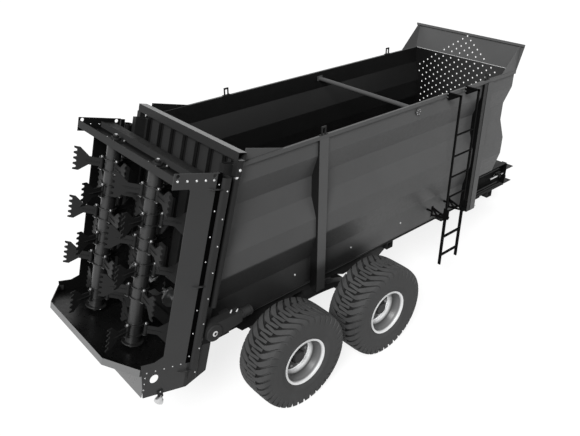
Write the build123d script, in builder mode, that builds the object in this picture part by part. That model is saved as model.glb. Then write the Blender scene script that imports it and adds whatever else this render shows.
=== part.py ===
from build123d import *
import os
from math import atan2, cos, degrees, radians, sin

# Manure spreader on two axles, millimetres, +Z up, +X towards the tractor, +Y to the left.
# Stations along the machine are counted forwards from the hopper's rear top edge.

os.makedirs("parts", exist_ok=True)

# Rear top edge of the hopper, which sets every other station
REAR_X = -2590.0

# Rear end: everything there leans with its top forwards
RAKE = 15.5
ROTOR_TOP_X = REAR_X - 585
ROTOR_TOP_Z = 3150
ROTOR_Y = 425

# Hopper
WALL_T = 6
WALL_END = 4910
WALL_TOP = 3104
WALL_PROFILE = [
    # half width to the outer face, height
    (880, 3100),
    (880, 2870),
    (785, 2600),
    (785, 2345),
    (870, 2090),
    (870, 1840),
    (785, 1530),
    (785, 1180),
]
SKIRT_END = 4200
POST_OUT = 885

# Chassis
RAIL_FRONT = 5330
RAIL_WEB_Y = 700
RAIL_TIP_Y = 779
RAIL_TOP = 1520
RAIL_BOTTOM = 1140
CROSS_H = 100
AXLE_Z = 624
AXLES = {"rear": 508, "front": 1926}
AXLE_BOX = 130

# Wheels
TYRE_R = 624
TYRE_Y = 1150
TYRE_HALF = 255
RIM_R = 300
STUB_R = 45

# Running clearances, each per side
SHAFT_GAP = 0.05
PIN_GAP = 0.05
LEG_GAP = 0.1
BEAD_GAP = 0.2

# Floor chains
SHAFT_Z = 1330
SHAFT_REAR = -455
SHAFT_FRONT = 5180
SPROCKET_R = 96
SHAFT_HOLE_R = 36
CHAIN_H = 22
FLOOR_Z = 1414

# Rotors
TUBE_R = 78
PADDLE_R = 415
PADDLE_T = 12
SEAT_R = 117
LEVELS = [
    # distance down the axis, turn of the first of three paddles from straight forwards
    (310, 20),
    (585, 80),
    (860, 20),
    (1132, 80),
    (1405, 20),
    (1830, 80),
]

# Door
DOOR_T = 585
DOOR_HALF = 800
DOOR_TOP = -160
DOOR_BOTTOM = 1560
BEAM_T = 588
BEAM_W = 100
BEAM_H = 88
BEAM_HALF = 952
CYL_Y = 935
CYL_T = 575
ROD_R = 22.5

SIN_R = sin(radians(RAKE))
COS_R = cos(radians(RAKE))


def st(x):
    """Model X of a station counted from the hopper's rear top edge."""
    return REAR_X + x


def raked(t, s, y=0.0):
    """Point t forwards of the rotor axis and s down it."""
    return (ROTOR_TOP_X + t * COS_R - s * SIN_R, y, ROTOR_TOP_Z - t * SIN_R - s * COS_R)


def raked_side(y):
    """Side view of the rear end at y: local x is forwards, local y is up the lean."""
    return Plane(origin=raked(0, 0, y), x_dir=(COS_R, 0, -SIN_R), z_dir=(0, -1, 0))


def raked_deck(s, y=0.0):
    """Plane square to the rotor axis, s down it: local x is forwards, local y is left."""
    return Plane(origin=raked(0, s, y), x_dir=(COS_R, 0, -SIN_R), z_dir=(SIN_R, 0, COS_R))


def raked_face(t):
    """Plane across the machine, leaning with the rear end: local x is left, local y is up."""
    return Plane(origin=raked(t, 0), x_dir=(0, 1, 0), z_dir=(COS_R, 0, -SIN_R))


def up_at(t, z):
    """Height on raked_face(t) of a level z."""
    return (z - ROTOR_TOP_Z + t * SIN_R) / COS_R


def save(shape, name):
    shape.label = name
    export_step(shape, f"parts/{name}.step")


def wall_inner():
    return [(y - WALL_T, z) for y, z in WALL_PROFILE]


# Side walls: folded sheet with a square tube along the top edge and a small wing at the rear
def side_wall(side, name):
    with BuildPart() as wall:
        outline = [(side * y, z) for y, z in WALL_PROFILE] + [(side * y, z) for y, z in reversed(wall_inner())]
        with BuildSketch(Plane.YZ.offset(st(-560))):
            with BuildLine():
                Polyline(*outline, close=True)
            make_face()
        extrude(amount=WALL_END + 560)
        with BuildSketch(Plane.YZ.offset(st(-560))):
            with Locations((side * 889, WALL_TOP - 22)):
                Rectangle(30, 44)
        extrude(amount=WALL_END + 560)
        with Locations((st(SKIRT_END + 500), side * 785, 1300)):
            Box(1000, 60, 440, mode=Mode.SUBTRACT)
        split(bisect_by=raked_face(620), keep=Keep.TOP)
        with BuildSketch(Plane.XZ.offset(-side * 750)):
            with Locations((st(SHAFT_REAR), SHAFT_Z)):
                Circle(SHAFT_HOLE_R)
        extrude(amount=-side * 60, mode=Mode.SUBTRACT)
        with BuildSketch(Plane.XZ.offset(-side * 884)):
            with BuildLine():
                Polyline((st(90), WALL_TOP), (st(620), WALL_TOP), (st(130), WALL_TOP + 132), close=True)
            make_face()
        extrude(amount=-side * 6)
    save(wall.part, name)


side_wall(-1, "side_wall_right")
side_wall(1, "side_wall_left")


# Wall posts: channels that follow the folds of the wall, open towards it
POSTS = [
    # station of the rear flange, width, outer half width, foot, head
    (1110, 137, 905, 1070, 3060),
    (4150, 120, 915, 1110, 3060),
]


def post_outline(side, outer, foot, head):
    inner = [(y, z) for y, z in WALL_PROFILE if foot < z < head]
    points = [(outer, head), (880, head)] + inner + [(785, foot), (outer, foot)]
    return [(side * y, z) for y, z in points]


with BuildPart() as wall_posts:
    for station, width, outer, foot, head in POSTS:
        for side in (-1, 1):
            with BuildSketch(Plane.YZ.offset(st(station))):
                with BuildLine():
                    Polyline(*post_outline(side, outer, foot, head), close=True)
                make_face()
            extrude(amount=width)
            with BuildSketch(Plane.YZ.offset(st(station + 8))):
                with Locations((side * (outer - 8 - 100), (foot + head) / 2)):
                    Rectangle(200, head - foot + 20)
            extrude(amount=width - 16, mode=Mode.SUBTRACT)
save(wall_posts.part, "wall_posts")

# Front wall with its leaning headboard, both with a see-through grille of staggered holes
GRILLE_R = 13
GRILLE_Y = 143
GRILLE_ROW = 53
WALL_ROWS = (8, 9, 10, 11, 12, 11, 12, 11, 10, 11, 10, 11, 10, 11, 10, 11, 10)
HEAD_ROWS = (1, 2, 3, 4, 5, 6)


def grille(rows, top):
    """Hole centres, row by row downwards from the height of the top row."""
    centres = []
    for i, count in enumerate(rows):
        for j in range(count):
            centres.append(((j - (count - 1) / 2) * GRILLE_Y, top - i * GRILLE_ROW))
    return centres


with BuildPart() as front_wall:
    inner = wall_inner()
    panel = [(y, z) for y, z in inner if z >= 1530] + [(RAIL_TIP_Y, RAIL_TOP)]
    outline = panel + [(-y, z) for y, z in reversed(panel)]
    with BuildSketch(Plane.YZ.offset(st(WALL_END - 6))):
        with BuildLine():
            Polyline(*outline, close=True)
        make_face()
        with Locations(*grille(WALL_ROWS, 3058)):
            RegularPolygon(GRILLE_R, 6, mode=Mode.SUBTRACT)
    extrude(amount=6)
save(front_wall.part, "front_wall")

HEAD_LEAN = degrees(atan2(56, 358))
HEAD_PLANE = Plane(
    origin=(st(WALL_END), 0, WALL_TOP),
    x_dir=(0, 1, 0),
    z_dir=(cos(radians(HEAD_LEAN)), 0, -sin(radians(HEAD_LEAN))),
)
with BuildPart() as headboard:
    with BuildSketch(HEAD_PLANE):
        with BuildLine():
            Polyline((-904, 0), (904, 0), (944, 330), (944, 362), (-944, 362), (-944, 330), close=True)
        make_face()
        with Locations(*grille(HEAD_ROWS, 318)):
            RegularPolygon(GRILLE_R, 6, mode=Mode.SUBTRACT)
    extrude(amount=-6)
    with BuildSketch(HEAD_PLANE):
        with Locations((0, 347)):
            Rectangle(1888, 30)
    extrude(amount=-26)
    for side in (-1, 1):
        with BuildSketch(Plane.XZ.offset(-side * 898)):
            with BuildLine():
                Polyline(
                    (st(4560), WALL_TOP),
                    (st(WALL_END - 2), WALL_TOP),
                    (st(WALL_END + 46), WALL_TOP + 330),
                    (st(WALL_END - 10), WALL_TOP + 330),
                    close=True,
                )
            make_face()
        extrude(amount=side * 6)
save(headboard.part, "headboard")

# Bar that ties the walls together near their top
with BuildPart() as tie_bar:
    with Locations((st(3460), 0, 3030)):
        Box(70, 1748, 50)
save(tie_bar.part, "tie_bar")

# Lifting eyes on the posts
with BuildPart() as lifting_eyes:
    for station in (1178, 4210):
        for side in (-1, 1):
            with Locations((st(station), side * 889, WALL_TOP + 4)):
                Box(110, 30, 8)
            with BuildSketch(Plane.XZ.offset(-side * 889)):
                with Locations((st(station), WALL_TOP + 50)):
                    Rectangle(66, 92)
                with Locations((st(station), WALL_TOP + 42)):
                    Rectangle(38, 70, mode=Mode.SUBTRACT)
            extrude(amount=8, both=True)
save(lifting_eyes.part, "lifting_eyes")

# Raked rear posts with the plates that close the wall ends
with BuildPart() as rear_frame:
    for side in (-1, 1):
        with BuildSketch(raked_face(611)):
            with BuildLine():
                Polyline(
                    (side * 775, up_at(611, 1190)),
                    (side * 885, up_at(611, 1190)),
                    (side * 885, up_at(611, 1500)),
                    (side * 904, up_at(611, 2200)),
                    (side * 904, up_at(611, WALL_TOP)),
                    (side * 775, up_at(611, WALL_TOP)),
                    close=True,
                )
            make_face()
        extrude(amount=9)
        with BuildSketch(raked_deck(-110)):
            with Locations((525.5, side * 850)):
                Rectangle(171, 70)
                Rectangle(155, 54, mode=Mode.SUBTRACT)
        extrude(amount=-2260)
        with BuildSketch(raked_deck(-110)):
            with Locations((573, side * 795)):
                Rectangle(10, 40)
        extrude(amount=-1700)
        with BuildSketch(Plane.XZ.offset(-side * 770)):
            with Locations((st(SHAFT_REAR), SHAFT_Z)):
                Circle(SHAFT_HOLE_R)
        extrude(amount=-side * 115, mode=Mode.SUBTRACT)
    with BuildSketch(Plane.XZ.offset(-POST_OUT)):
        with Locations((st(SHAFT_REAR), SHAFT_Z)):
            Circle(75)
    extrude(amount=-18)
save(rear_frame.part, "rear_frame")

# Chassis: two channels with flanges outwards
with BuildPart() as chassis_rails:
    for side in (-1, 1):
        with BuildSketch(Plane.YZ.offset(st(-620))):
            with Locations((side * (RAIL_WEB_Y + RAIL_TIP_Y) / 2, (RAIL_TOP + RAIL_BOTTOM) / 2)):
                Rectangle(RAIL_TIP_Y - RAIL_WEB_Y, RAIL_TOP - RAIL_BOTTOM)
            with Locations((side * (RAIL_WEB_Y + RAIL_TIP_Y + 20) / 2, (RAIL_TOP + RAIL_BOTTOM) / 2)):
                Rectangle(RAIL_TIP_Y - RAIL_WEB_Y + 4, RAIL_TOP - RAIL_BOTTOM - 20, mode=Mode.SUBTRACT)
        extrude(amount=RAIL_FRONT + 620)
    with BuildSketch(Plane.XZ.offset(-800)):
        with Locations((st(SHAFT_FRONT), SHAFT_Z)):
            SlotCenterToCenter(60, 76)
        with Locations((st(SHAFT_REAR), SHAFT_Z)):
            Circle(SHAFT_HOLE_R)
    extrude(amount=1600, mode=Mode.SUBTRACT)
    split(bisect_by=raked_face(620), keep=Keep.TOP)
save(chassis_rails.part, "chassis_rails")

# Cross members: box sections under the rails, and a channel open to the front across their ends
CROSS_X = (-60, 1217, 2600, 3800, 4960)
CROSS_W = 120
CROSS_T = 8
with BuildPart() as cross_members:
    for station in CROSS_X:
        with BuildSketch(Plane.XZ):
            with Locations((st(station), RAIL_BOTTOM - CROSS_H / 2)):
                Rectangle(CROSS_W, CROSS_H)
                Rectangle(CROSS_W - 2 * CROSS_T, CROSS_H - 2 * CROSS_T, mode=Mode.SUBTRACT)
        extrude(amount=RAIL_TIP_Y, both=True)
    with BuildSketch(Plane.XZ):
        with BuildLine():
            Polyline(
                (st(RAIL_FRONT + 12), 1404),
                (st(RAIL_FRONT + 212), 1404),
                (st(RAIL_FRONT + 212), 1404 - CROSS_T),
                (st(RAIL_FRONT + 20), 1404 - CROSS_T),
                (st(RAIL_FRONT + 20), 1150 + CROSS_T),
                (st(RAIL_FRONT + 212), 1150 + CROSS_T),
                (st(RAIL_FRONT + 212), 1150),
                (st(RAIL_FRONT + 12), 1150),
                close=True,
            )
        make_face()
    extrude(amount=RAIL_TIP_Y, both=True)
    with BuildSketch(Plane.YZ.offset(st(RAIL_FRONT + 6))):
        with Locations((-745, SHAFT_Z), (745, SHAFT_Z)):
            Circle(20)
    extrude(amount=20, mode=Mode.SUBTRACT)
save(cross_members.part, "cross_members")

# Load floor between the rails, and the apron under it that leads back to the tray
with BuildPart() as floor_plate:
    with Locations((st((SHAFT_REAR + SHAFT_FRONT) / 2), 0, FLOOR_Z - 3)):
        Box(SHAFT_FRONT - SHAFT_REAR - 160, 2 * RAIL_WEB_Y, 6)
    with BuildSketch(Plane.XZ.offset(-765)):
        with BuildLine():
            Polyline((st(-550), 1024), (st(-120), 1060), (st(-120), 1066), (st(-550), 1030), close=True)
        make_face()
    extrude(amount=2 * 765)
save(floor_plate.part, "floor_plate")

# Floor chains: two conveyors, each with two strands and cross slats
STRANDS = {"right": (-620, -150), "left": (150, 620)}
SLATS = 12
SLAT_PITCH = 470
CHAIN_TURN = 30


def chain_loop(r):
    """Side view of a loop whose flats clear a circle of radius r at both shafts."""
    corner = r / cos(radians(CHAIN_TURN / 2))
    points = []
    for station, start in ((SHAFT_FRONT, -75), (SHAFT_REAR, 105)):
        for i in range(180 // CHAIN_TURN):
            turn = radians(start + i * CHAIN_TURN)
            points.append((st(station) + corner * cos(turn), SHAFT_Z + corner * sin(turn)))
    return points


with BuildPart() as floor_chains:
    for strands in STRANDS.values():
        for y in strands:
            with BuildSketch(Plane.XZ.offset(-y)):
                with BuildLine():
                    Polyline(*chain_loop(SPROCKET_R + CHAIN_H), close=True)
                make_face()
                with BuildLine():
                    Polyline(*chain_loop(SPROCKET_R), close=True)
                make_face(mode=Mode.SUBTRACT)
            extrude(amount=12, both=True)
        for i in range(SLATS):
            station = SHAFT_REAR + 230 + i * SLAT_PITCH
            for z in (SHAFT_Z + SPROCKET_R + 26, SHAFT_Z - SPROCKET_R - 26):
                with Locations((st(station), sum(strands) / 2, z)):
                    Box(50, strands[1] - strands[0] + 70, 26)
save(floor_chains.part, "floor_chains")

# Conveyor shafts with their sprockets
with BuildPart() as conveyor_shafts:
    for station, reach in ((SHAFT_REAR, POST_OUT), (SHAFT_FRONT, RAIL_WEB_Y + 8)):
        with BuildSketch(Plane.XZ):
            with Locations((st(station), SHAFT_Z)):
                Circle(30)
        extrude(amount=reach, both=True)
        for y in (-620, -150, 150, 620):
            with BuildSketch(Plane.XZ.offset(-y)):
                with Locations((st(station), SHAFT_Z)):
                    Circle(SPROCKET_R - 0.4)
            extrude(amount=9, both=True)
save(conveyor_shafts.part, "conveyor_shafts")

# Conveyor gearbox with its oil motor, outside the right rear corner
with BuildPart() as conveyor_drive:
    with BuildSketch(Plane.XZ.offset(POST_OUT)):
        with BuildLine():
            Polyline(
                (st(SHAFT_REAR), SHAFT_Z - 105),
                (st(-80), SHAFT_Z - 40),
                (st(-80), SHAFT_Z + 90),
                (st(SHAFT_REAR), SHAFT_Z + 105),
                close=True,
            )
        make_face()
        with Locations((st(SHAFT_REAR), SHAFT_Z)):
            Circle(105)
    extrude(amount=108)
    with BuildSketch(Plane.XZ.offset(993)):
        with Locations((st(SHAFT_REAR), SHAFT_Z)):
            Circle(62)
            Circle(34, mode=Mode.SUBTRACT)
    extrude(amount=14)
    with BuildSketch(Plane.YZ.offset(st(-80))):
        with Locations((-945, SHAFT_Z + 28)):
            Circle(52)
    extrude(amount=150)
    with Locations((st(-200), -839, SHAFT_Z + 20)):
        Box(120, 108, 60)
save(conveyor_drive.part, "conveyor_drive")

# Chain tensioners at the front ends of the rails
with BuildPart() as chain_tensioners:
    for side in (-1, 1):
        with Locations((st(SHAFT_FRONT + 20), side * 724, SHAFT_Z)):
            Box(120, 32, 90)
        with BuildSketch(Plane.YZ.offset(st(4960))):
            with Locations((side * 745, SHAFT_Z)):
                Circle(13)
        extrude(amount=420)
        with Locations((st(SHAFT_FRONT + 20), side * 745, SHAFT_Z)):
            Box(60, 60, 60)
        with Locations((st(RAIL_FRONT + 6), side * 739.5, SHAFT_Z)):
            Box(12, 79, 340)
save(chain_tensioners.part, "chain_tensioners")

# Axles, springs and hangers
with BuildPart() as axles:
    for station in AXLES.values():
        with Locations((st(station), 0, AXLE_Z)):
            Box(AXLE_BOX, 2 * 800, AXLE_BOX)
        for side in (-1, 1):
            with BuildSketch(Plane.XZ.offset(-side * 800)):
                with Locations((st(station), AXLE_Z)):
                    Circle(70)
            extrude(amount=-side * 90)
        with BuildSketch(Plane.XZ):
            with Locations((st(station), AXLE_Z)):
                Circle(STUB_R)
        extrude(amount=1215, both=True)
save(axles.part, "axles")

BOGIE_X = (AXLES["rear"] + AXLES["front"]) / 2
BOGIE_HALF = (AXLES["front"] - AXLES["rear"]) / 2
SPRING_Y = 640
with BuildPart() as leaf_springs:
    for side in (-1, 1):
        with BuildSketch(Plane.XZ.offset(-side * SPRING_Y)):
            with BuildLine():
                ThreePointArc(
                    (st(BOGIE_X - BOGIE_HALF - 70), 730),
                    (st(BOGIE_X), 925),
                    (st(BOGIE_X + BOGIE_HALF + 70), 730),
                )
                Line((st(BOGIE_X + BOGIE_HALF + 70), 730), (st(BOGIE_X + BOGIE_HALF + 70), 700))
                ThreePointArc(
                    (st(BOGIE_X + BOGIE_HALF + 70), 700),
                    (st(BOGIE_X), 815),
                    (st(BOGIE_X - BOGIE_HALF - 70), 700),
                )
                Line((st(BOGIE_X - BOGIE_HALF - 70), 700), (st(BOGIE_X - BOGIE_HALF - 70), 730))
            make_face()
        extrude(amount=50, both=True)
        with Locations((st(BOGIE_X), side * SPRING_Y, (880 + RAIL_BOTTOM - CROSS_H) / 2)):
            Box(260, 120, RAIL_BOTTOM - CROSS_H - 880)
        for station in AXLES.values():
            with Locations((st(station), side * SPRING_Y, 689 + 25)):
                Box(150, 130, 50)
save(leaf_springs.part, "leaf_springs")


# Wheels: stepped rims and hollow tyres whose faceted casings carry chevron lugs
LUGS = 24
CASING = [
    # outwards from the wheel's middle, radius to the flats
    (-224, RIM_R + 18),
    (-TYRE_HALF, 460),
    (-228, 602),
    (228, 602),
    (TYRE_HALF, 460),
    (224, RIM_R + 18),
]
LUG_OUTLINE = [
    # across the tyre, around it
    (-226, -62),
    (-226, -22),
    (0, 62),
    (226, -22),
    (226, -62),
    (0, 16),
]


def wheel(station, side, name):
    hub = Plane(origin=(st(station), 0, AXLE_Z), x_dir=(0, side, 0), z_dir=(side, 0, 0))
    with BuildPart() as rim:
        with BuildSketch(hub):
            with BuildLine():
                Polyline(
                    (TYRE_Y + 235, RIM_R),
                    (TYRE_Y + 225, RIM_R),
                    (TYRE_Y + 215, 284),
                    (TYRE_Y + 170, 276),
                    (TYRE_Y + 120, 250),
                    (TYRE_Y - 120, 250),
                    (TYRE_Y - 215, 284),
                    (TYRE_Y - 225, RIM_R),
                    (TYRE_Y - 235, RIM_R),
                    (TYRE_Y - 228, 274),
                    (TYRE_Y - 130, 240),
                    (TYRE_Y + 20, 240),
                    (TYRE_Y + 20, 120),
                    (TYRE_Y - 40, 120),
                    (TYRE_Y - 40, 100),
                    (TYRE_Y - 150, 100),
                    (TYRE_Y - 150, STUB_R + SHAFT_GAP),
                    (TYRE_Y + 75, STUB_R + SHAFT_GAP),
                    (TYRE_Y + 75, 0),
                    (TYRE_Y + 130, 0),
                    (TYRE_Y + 130, 70),
                    (TYRE_Y + 110, 90),
                    (TYRE_Y + 40, 95),
                    (TYRE_Y + 40, 130),
                    (TYRE_Y + 32, 225),
                    (TYRE_Y + 120, 238),
                    (TYRE_Y + 180, 262),
                    (TYRE_Y + 228, 274),
                    close=True,
                )
            make_face()
        revolve(axis=Axis((st(station), 0, AXLE_Z), (0, 1, 0)))
    save(rim.part, f"rim_{name}")
    with BuildPart() as tyre:
        for (y_a, r_a), (y_b, r_b) in zip(CASING, CASING[1:]):
            with BuildSketch(Plane.XZ.offset(-side * (TYRE_Y + y_a))):
                with Locations((st(station), AXLE_Z)):
                    RegularPolygon(r_a, LUGS, major_radius=False, rotation=180 / LUGS)
            with BuildSketch(Plane.XZ.offset(-side * (TYRE_Y + y_b))):
                with Locations((st(station), AXLE_Z)):
                    RegularPolygon(r_b, LUGS, major_radius=False, rotation=180 / LUGS)
            loft(ruled=True)
        for half, r in ((200, 555), (TYRE_HALF, RIM_R + BEAD_GAP)):
            with BuildSketch(Plane.XZ.offset(-side * TYRE_Y)):
                with Locations((st(station), AXLE_Z)):
                    RegularPolygon(r, LUGS, major_radius=False, rotation=180 / LUGS)
            extrude(amount=half, both=True, mode=Mode.SUBTRACT)
        for i in range(LUGS):
            turn = radians(i * 360 / LUGS)
            out = (cos(turn), 0, sin(turn))
            foot = (st(station) + 585 * out[0], side * TYRE_Y, AXLE_Z + 585 * out[2])
            with BuildSketch(Plane(origin=foot, x_dir=(0, 1, 0), z_dir=out)):
                with BuildLine():
                    Polyline(*LUG_OUTLINE, close=True)
                make_face()
            extrude(amount=TYRE_R - 585)
    save(tyre.part, f"tyre_{name}")


for axle_name, axle_station in AXLES.items():
    wheel(axle_station, -1, f"{axle_name}_right")
    wheel(axle_station, 1, f"{axle_name}_left")

# Drawbar: two box arms that meet at the towing eye, with the sleeve of the parking jack on the left
JACK_X = 6200
JACK_Y = 330
JACK_TUBE = 90
EYE_X = 6660
EYE_Z = 600
BAR_REAR = 4900
BAR_DROP = degrees(atan2(960 - EYE_Z, EYE_X - 120 - BAR_REAR))
BAR_PLANE = Plane(
    origin=(st(BAR_REAR), 0, 960),
    x_dir=(cos(radians(BAR_DROP)), 0, -sin(radians(BAR_DROP))),
    z_dir=(sin(radians(BAR_DROP)), 0, cos(radians(BAR_DROP))),
)
BAR_L = (EYE_X - 120 - BAR_REAR) / cos(radians(BAR_DROP))
with BuildPart() as drawbar:
    with BuildSketch(BAR_PLANE):
        with BuildLine():
            Polyline((0, -520), (0, 520), (BAR_L - 200, 100), (BAR_L, 100), (BAR_L, -100), (BAR_L - 200, -100), close=True)
        make_face()
        with BuildLine():
            Polyline((-20, -400), (-20, 400), (BAR_L - 330, 20), (BAR_L - 330, -20), close=True)
        make_face(mode=Mode.SUBTRACT)
    extrude(amount=75, both=True)
    for side in (-1, 1):
        with Locations((st(BAR_REAR + 60), side * 450, 985)):
            Box(120, 260, 110)
    with Locations((st(EYE_X - 110), 0, EYE_Z)):
        Box(30, 200, 220)
    with Locations((st(JACK_X), (110 + JACK_Y) / 2, 670)):
        Box(70, JACK_Y - 110, 100)
    with Locations((st(JACK_X), JACK_Y, 645)):
        Box(JACK_TUBE, JACK_TUBE, 630)
    with Locations((st(JACK_X), JACK_Y, 640)):
        Box(JACK_TUBE - 12, JACK_TUBE - 12, 620, mode=Mode.SUBTRACT)
save(drawbar.part, "drawbar")

with BuildPart() as towing_eye:
    with Locations((st(EYE_X - 85), 0, EYE_Z)):
        Box(20, 160, 160)
    with BuildSketch(Plane.XY.offset(EYE_Z)):
        with Locations((st(EYE_X), 0)):
            Circle(60)
        with Locations((st(EYE_X - 45), 0)):
            Rectangle(70, 70)
        with Locations((st(EYE_X), 0)):
            Circle(25.5, mode=Mode.SUBTRACT)
    extrude(amount=20, both=True)
save(towing_eye.part, "towing_eye")

# Leg of the parking jack, which slides in its sleeve
with BuildPart() as jack_leg:
    with BuildSketch(Plane.XY.offset(20)):
        with Locations((st(JACK_X), JACK_Y)):
            Rectangle(JACK_TUBE - 12 - 2 * LEG_GAP, JACK_TUBE - 12 - 2 * LEG_GAP)
    extrude(amount=560)
    with BuildSketch(Plane.XY):
        with Locations((st(JACK_X), JACK_Y)):
            Rectangle(200, 180)
    extrude(amount=20)
save(jack_leg.part, "jack_leg")

# Drive line under the chassis, from the tractor's shaft to the rotor gears
PTO_Z = 955
PTO_FRONT = 5700
PTO_R = 17.5
PTO_STUB = 94
PTO_NECK = 6
with BuildPart() as drive_line:
    with BuildSketch(Plane.YZ.offset(st(-640))):
        with Locations((0, PTO_Z)):
            Circle(35)
    extrude(amount=PTO_FRONT - PTO_STUB - PTO_NECK + 640)
    with BuildSketch(Plane.YZ.offset(st(PTO_FRONT - PTO_STUB - PTO_NECK))):
        with Locations((0, PTO_Z)):
            Circle(PTO_R - 2)
    extrude(amount=PTO_NECK)
    with BuildSketch(Plane.YZ.offset(st(PTO_FRONT - PTO_STUB))):
        with Locations((0, PTO_Z)):
            Circle(PTO_R)
    extrude(amount=PTO_STUB)
    for station in (-60, 2600, 4960):
        with Locations((st(station), 0, PTO_Z + 40)):
            Box(90, 150, 90)
    split(bisect_by=raked_face(640), keep=Keep.TOP)
save(drive_line.part, "drive_line")

# Side plates of the rotor frame, open towards the rear
FRAME_Y = 966
PLATE_T = 8


def side_plate(side, name):
    with BuildPart() as plate:
        with BuildSketch(raked_side(side * (FRAME_Y + (PLATE_T if side > 0 else 0)))):
            with BuildLine():
                Polyline(
                    (-167, 58),
                    (335, 58),
                    (335, -1850),
                    (606, -1850),
                    (606, -2190),
                    (375, -2330),
                    (-140, -2322),
                    (-215, -1925),
                    (-60, -1925),
                    (35, -1880),
                    (35, -115),
                    (15, -95),
                    (-167, -95),
                    close=True,
                )
            make_face()
            with Locations((-125, 30), (285, 30)):
                Circle(21, mode=Mode.SUBTRACT)
            with Locations((-40, -2120)):
                Circle(50, mode=Mode.SUBTRACT)
        extrude(amount=PLATE_T)
        with BuildSketch(raked_deck(-58)):
            with Locations((332, side * 954)):
                Rectangle(6, 28)
            with Locations((354.5, side * 943)):
                Rectangle(45, 6)
        extrude(amount=-(2035 + 58))
        with BuildSketch(raked_deck(-8)):
            with Locations((430, side * 945)):
                RectangleRounded(110, 120, 40)
                RectangleRounded(96, 106, 34, mode=Mode.SUBTRACT)
        extrude(amount=-2240)
        for s in (100, 1130, 2110):
            with BuildSketch(raked_deck(s)):
                with BuildLine():
                    Polyline(
                        (225, side * (FRAME_Y + PLATE_T - 2)),
                        (265, side * 1004),
                        (385, side * 1004),
                        (385, side * (FRAME_Y + PLATE_T - 2)),
                        close=True,
                    )
                make_face()
            extrude(amount=-6)
    save(plate.part, name)


side_plate(-1, "rotor_frame_right")
side_plate(1, "rotor_frame_left")

# Top of the rotor frame: a channel open upwards that holds the two bearings, with a folded flange in front
BEARING_R = 25
TOP_S = 45
with BuildPart() as rotor_frame_top:
    with BuildSketch(raked_side(FRAME_Y)):
        with BuildLine():
            Polyline(
                (-165, 28),
                (-165, -TOP_S - 8),
                (112, -TOP_S - 8),
                (112, 16),
                (234, 16),
                (234, -34),
                (240, -34),
                (240, 22),
                (104, 22),
                (104, -TOP_S),
                (-157, -TOP_S),
                (-157, 28),
                close=True,
            )
        make_face()
    extrude(amount=2 * FRAME_Y)
    with BuildSketch(raked_deck(TOP_S)):
        for side in (-1, 1):
            with Locations((0, side * ROTOR_Y)):
                Circle(60)
    extrude(amount=-8, mode=Mode.SUBTRACT)
    for side in (-1, 1):
        with BuildSketch(raked_deck(TOP_S, side * ROTOR_Y)):
            RectangleRounded(170, 170, 20)
            Circle(BEARING_R + SHAFT_GAP, mode=Mode.SUBTRACT)
        extrude(amount=16)
        with BuildSketch(raked_deck(TOP_S - 16, side * ROTOR_Y)):
            Circle(52)
            Circle(BEARING_R + SHAFT_GAP, mode=Mode.SUBTRACT)
        extrude(amount=26)
        with BuildSketch(raked_deck(TOP_S - 42, side * ROTOR_Y)):
            Circle(30)
        extrude(amount=20)
save(rotor_frame_top.part, "rotor_frame_top")

# Deck under the rotors: it runs back as a tray with a raised rim
DECK_S = 2045
TRAY = [
    # t forwards of the rotor axis, half width
    (600, 770),
    (370, 770),
    (370, FRAME_Y),
    (-215, FRAME_Y),
    (-448, 624),
]
with BuildPart() as tray:
    with BuildSketch(raked_deck(DECK_S)):
        with BuildLine():
            Polyline(*TRAY, *[(t, -y) for t, y in reversed(TRAY)], close=True)
        make_face()
        for side in (-1, 1):
            with Locations((0, side * ROTOR_Y)):
                Circle(60, mode=Mode.SUBTRACT)
    extrude(amount=-8)
    with BuildSketch(raked_deck(DECK_S)):
        with BuildLine():
            Polyline(
                (-150, FRAME_Y), (-215, FRAME_Y), (-448, 624), (-448, -624), (-215, -FRAME_Y), (-150, -FRAME_Y), close=True
            )
        make_face()
        with BuildLine():
            Polyline((-140, 957), (-211, 957), (-440, 620), (-440, -620), (-211, -957), (-140, -957), close=True)
        make_face(mode=Mode.SUBTRACT)
    extrude(amount=70)
    with BuildSketch(raked_face(-155)):
        with Locations((0, -2185)):
            Rectangle(1920, 270)
    extrude(amount=6)
save(tray.part, "spreading_tray")

# Gears that turn the rotors, under the deck
with BuildPart() as rotor_gears:
    with BuildSketch(raked_deck(2125)):
        with Locations((0, 0)):
            Rectangle(150, 1240)
    extrude(amount=-120)
    for side in (-1, 1):
        with BuildSketch(raked_deck(2070, side * ROTOR_Y)):
            Circle(55)
            Circle(BEARING_R + SHAFT_GAP, mode=Mode.SUBTRACT)
        extrude(amount=-55)
        with BuildSketch(raked_deck(2125, side * ROTOR_Y)):
            Circle(110)
        extrude(amount=-150)
    with BuildSketch(raked_deck(2056)):
        with Locations((330, 0)):
            Rectangle(620, 120)
    extrude(amount=-120)
    with BuildSketch(raked_deck(2053)):
        for side in (-1, 1):
            with Locations((0, side * 250)):
                Rectangle(120, 60)
    extrude(amount=-72)
save(rotor_gears.part, "rotor_gears")


# Rotors: a tube with lobed plates in pairs, and three toothed paddles held between each pair
def paddle_outline():
    points = [(SEAT_R, -45), (249, -45), (352, -128)]
    teeth = 5
    pitch = 60
    for i in range(teeth):
        middle = (i - (teeth - 1) / 2) * pitch
        points += [(PADDLE_R - 34, middle - 20), (PADDLE_R, middle - 8), (PADDLE_R, middle + 8), (PADDLE_R - 34, middle + 20)]
    points[3] = (PADDLE_R - 34, -128)
    points[-1] = (PADDLE_R - 34, 128)
    points += [(352, 128), (249, 45), (SEAT_R, 45)]
    return points


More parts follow.
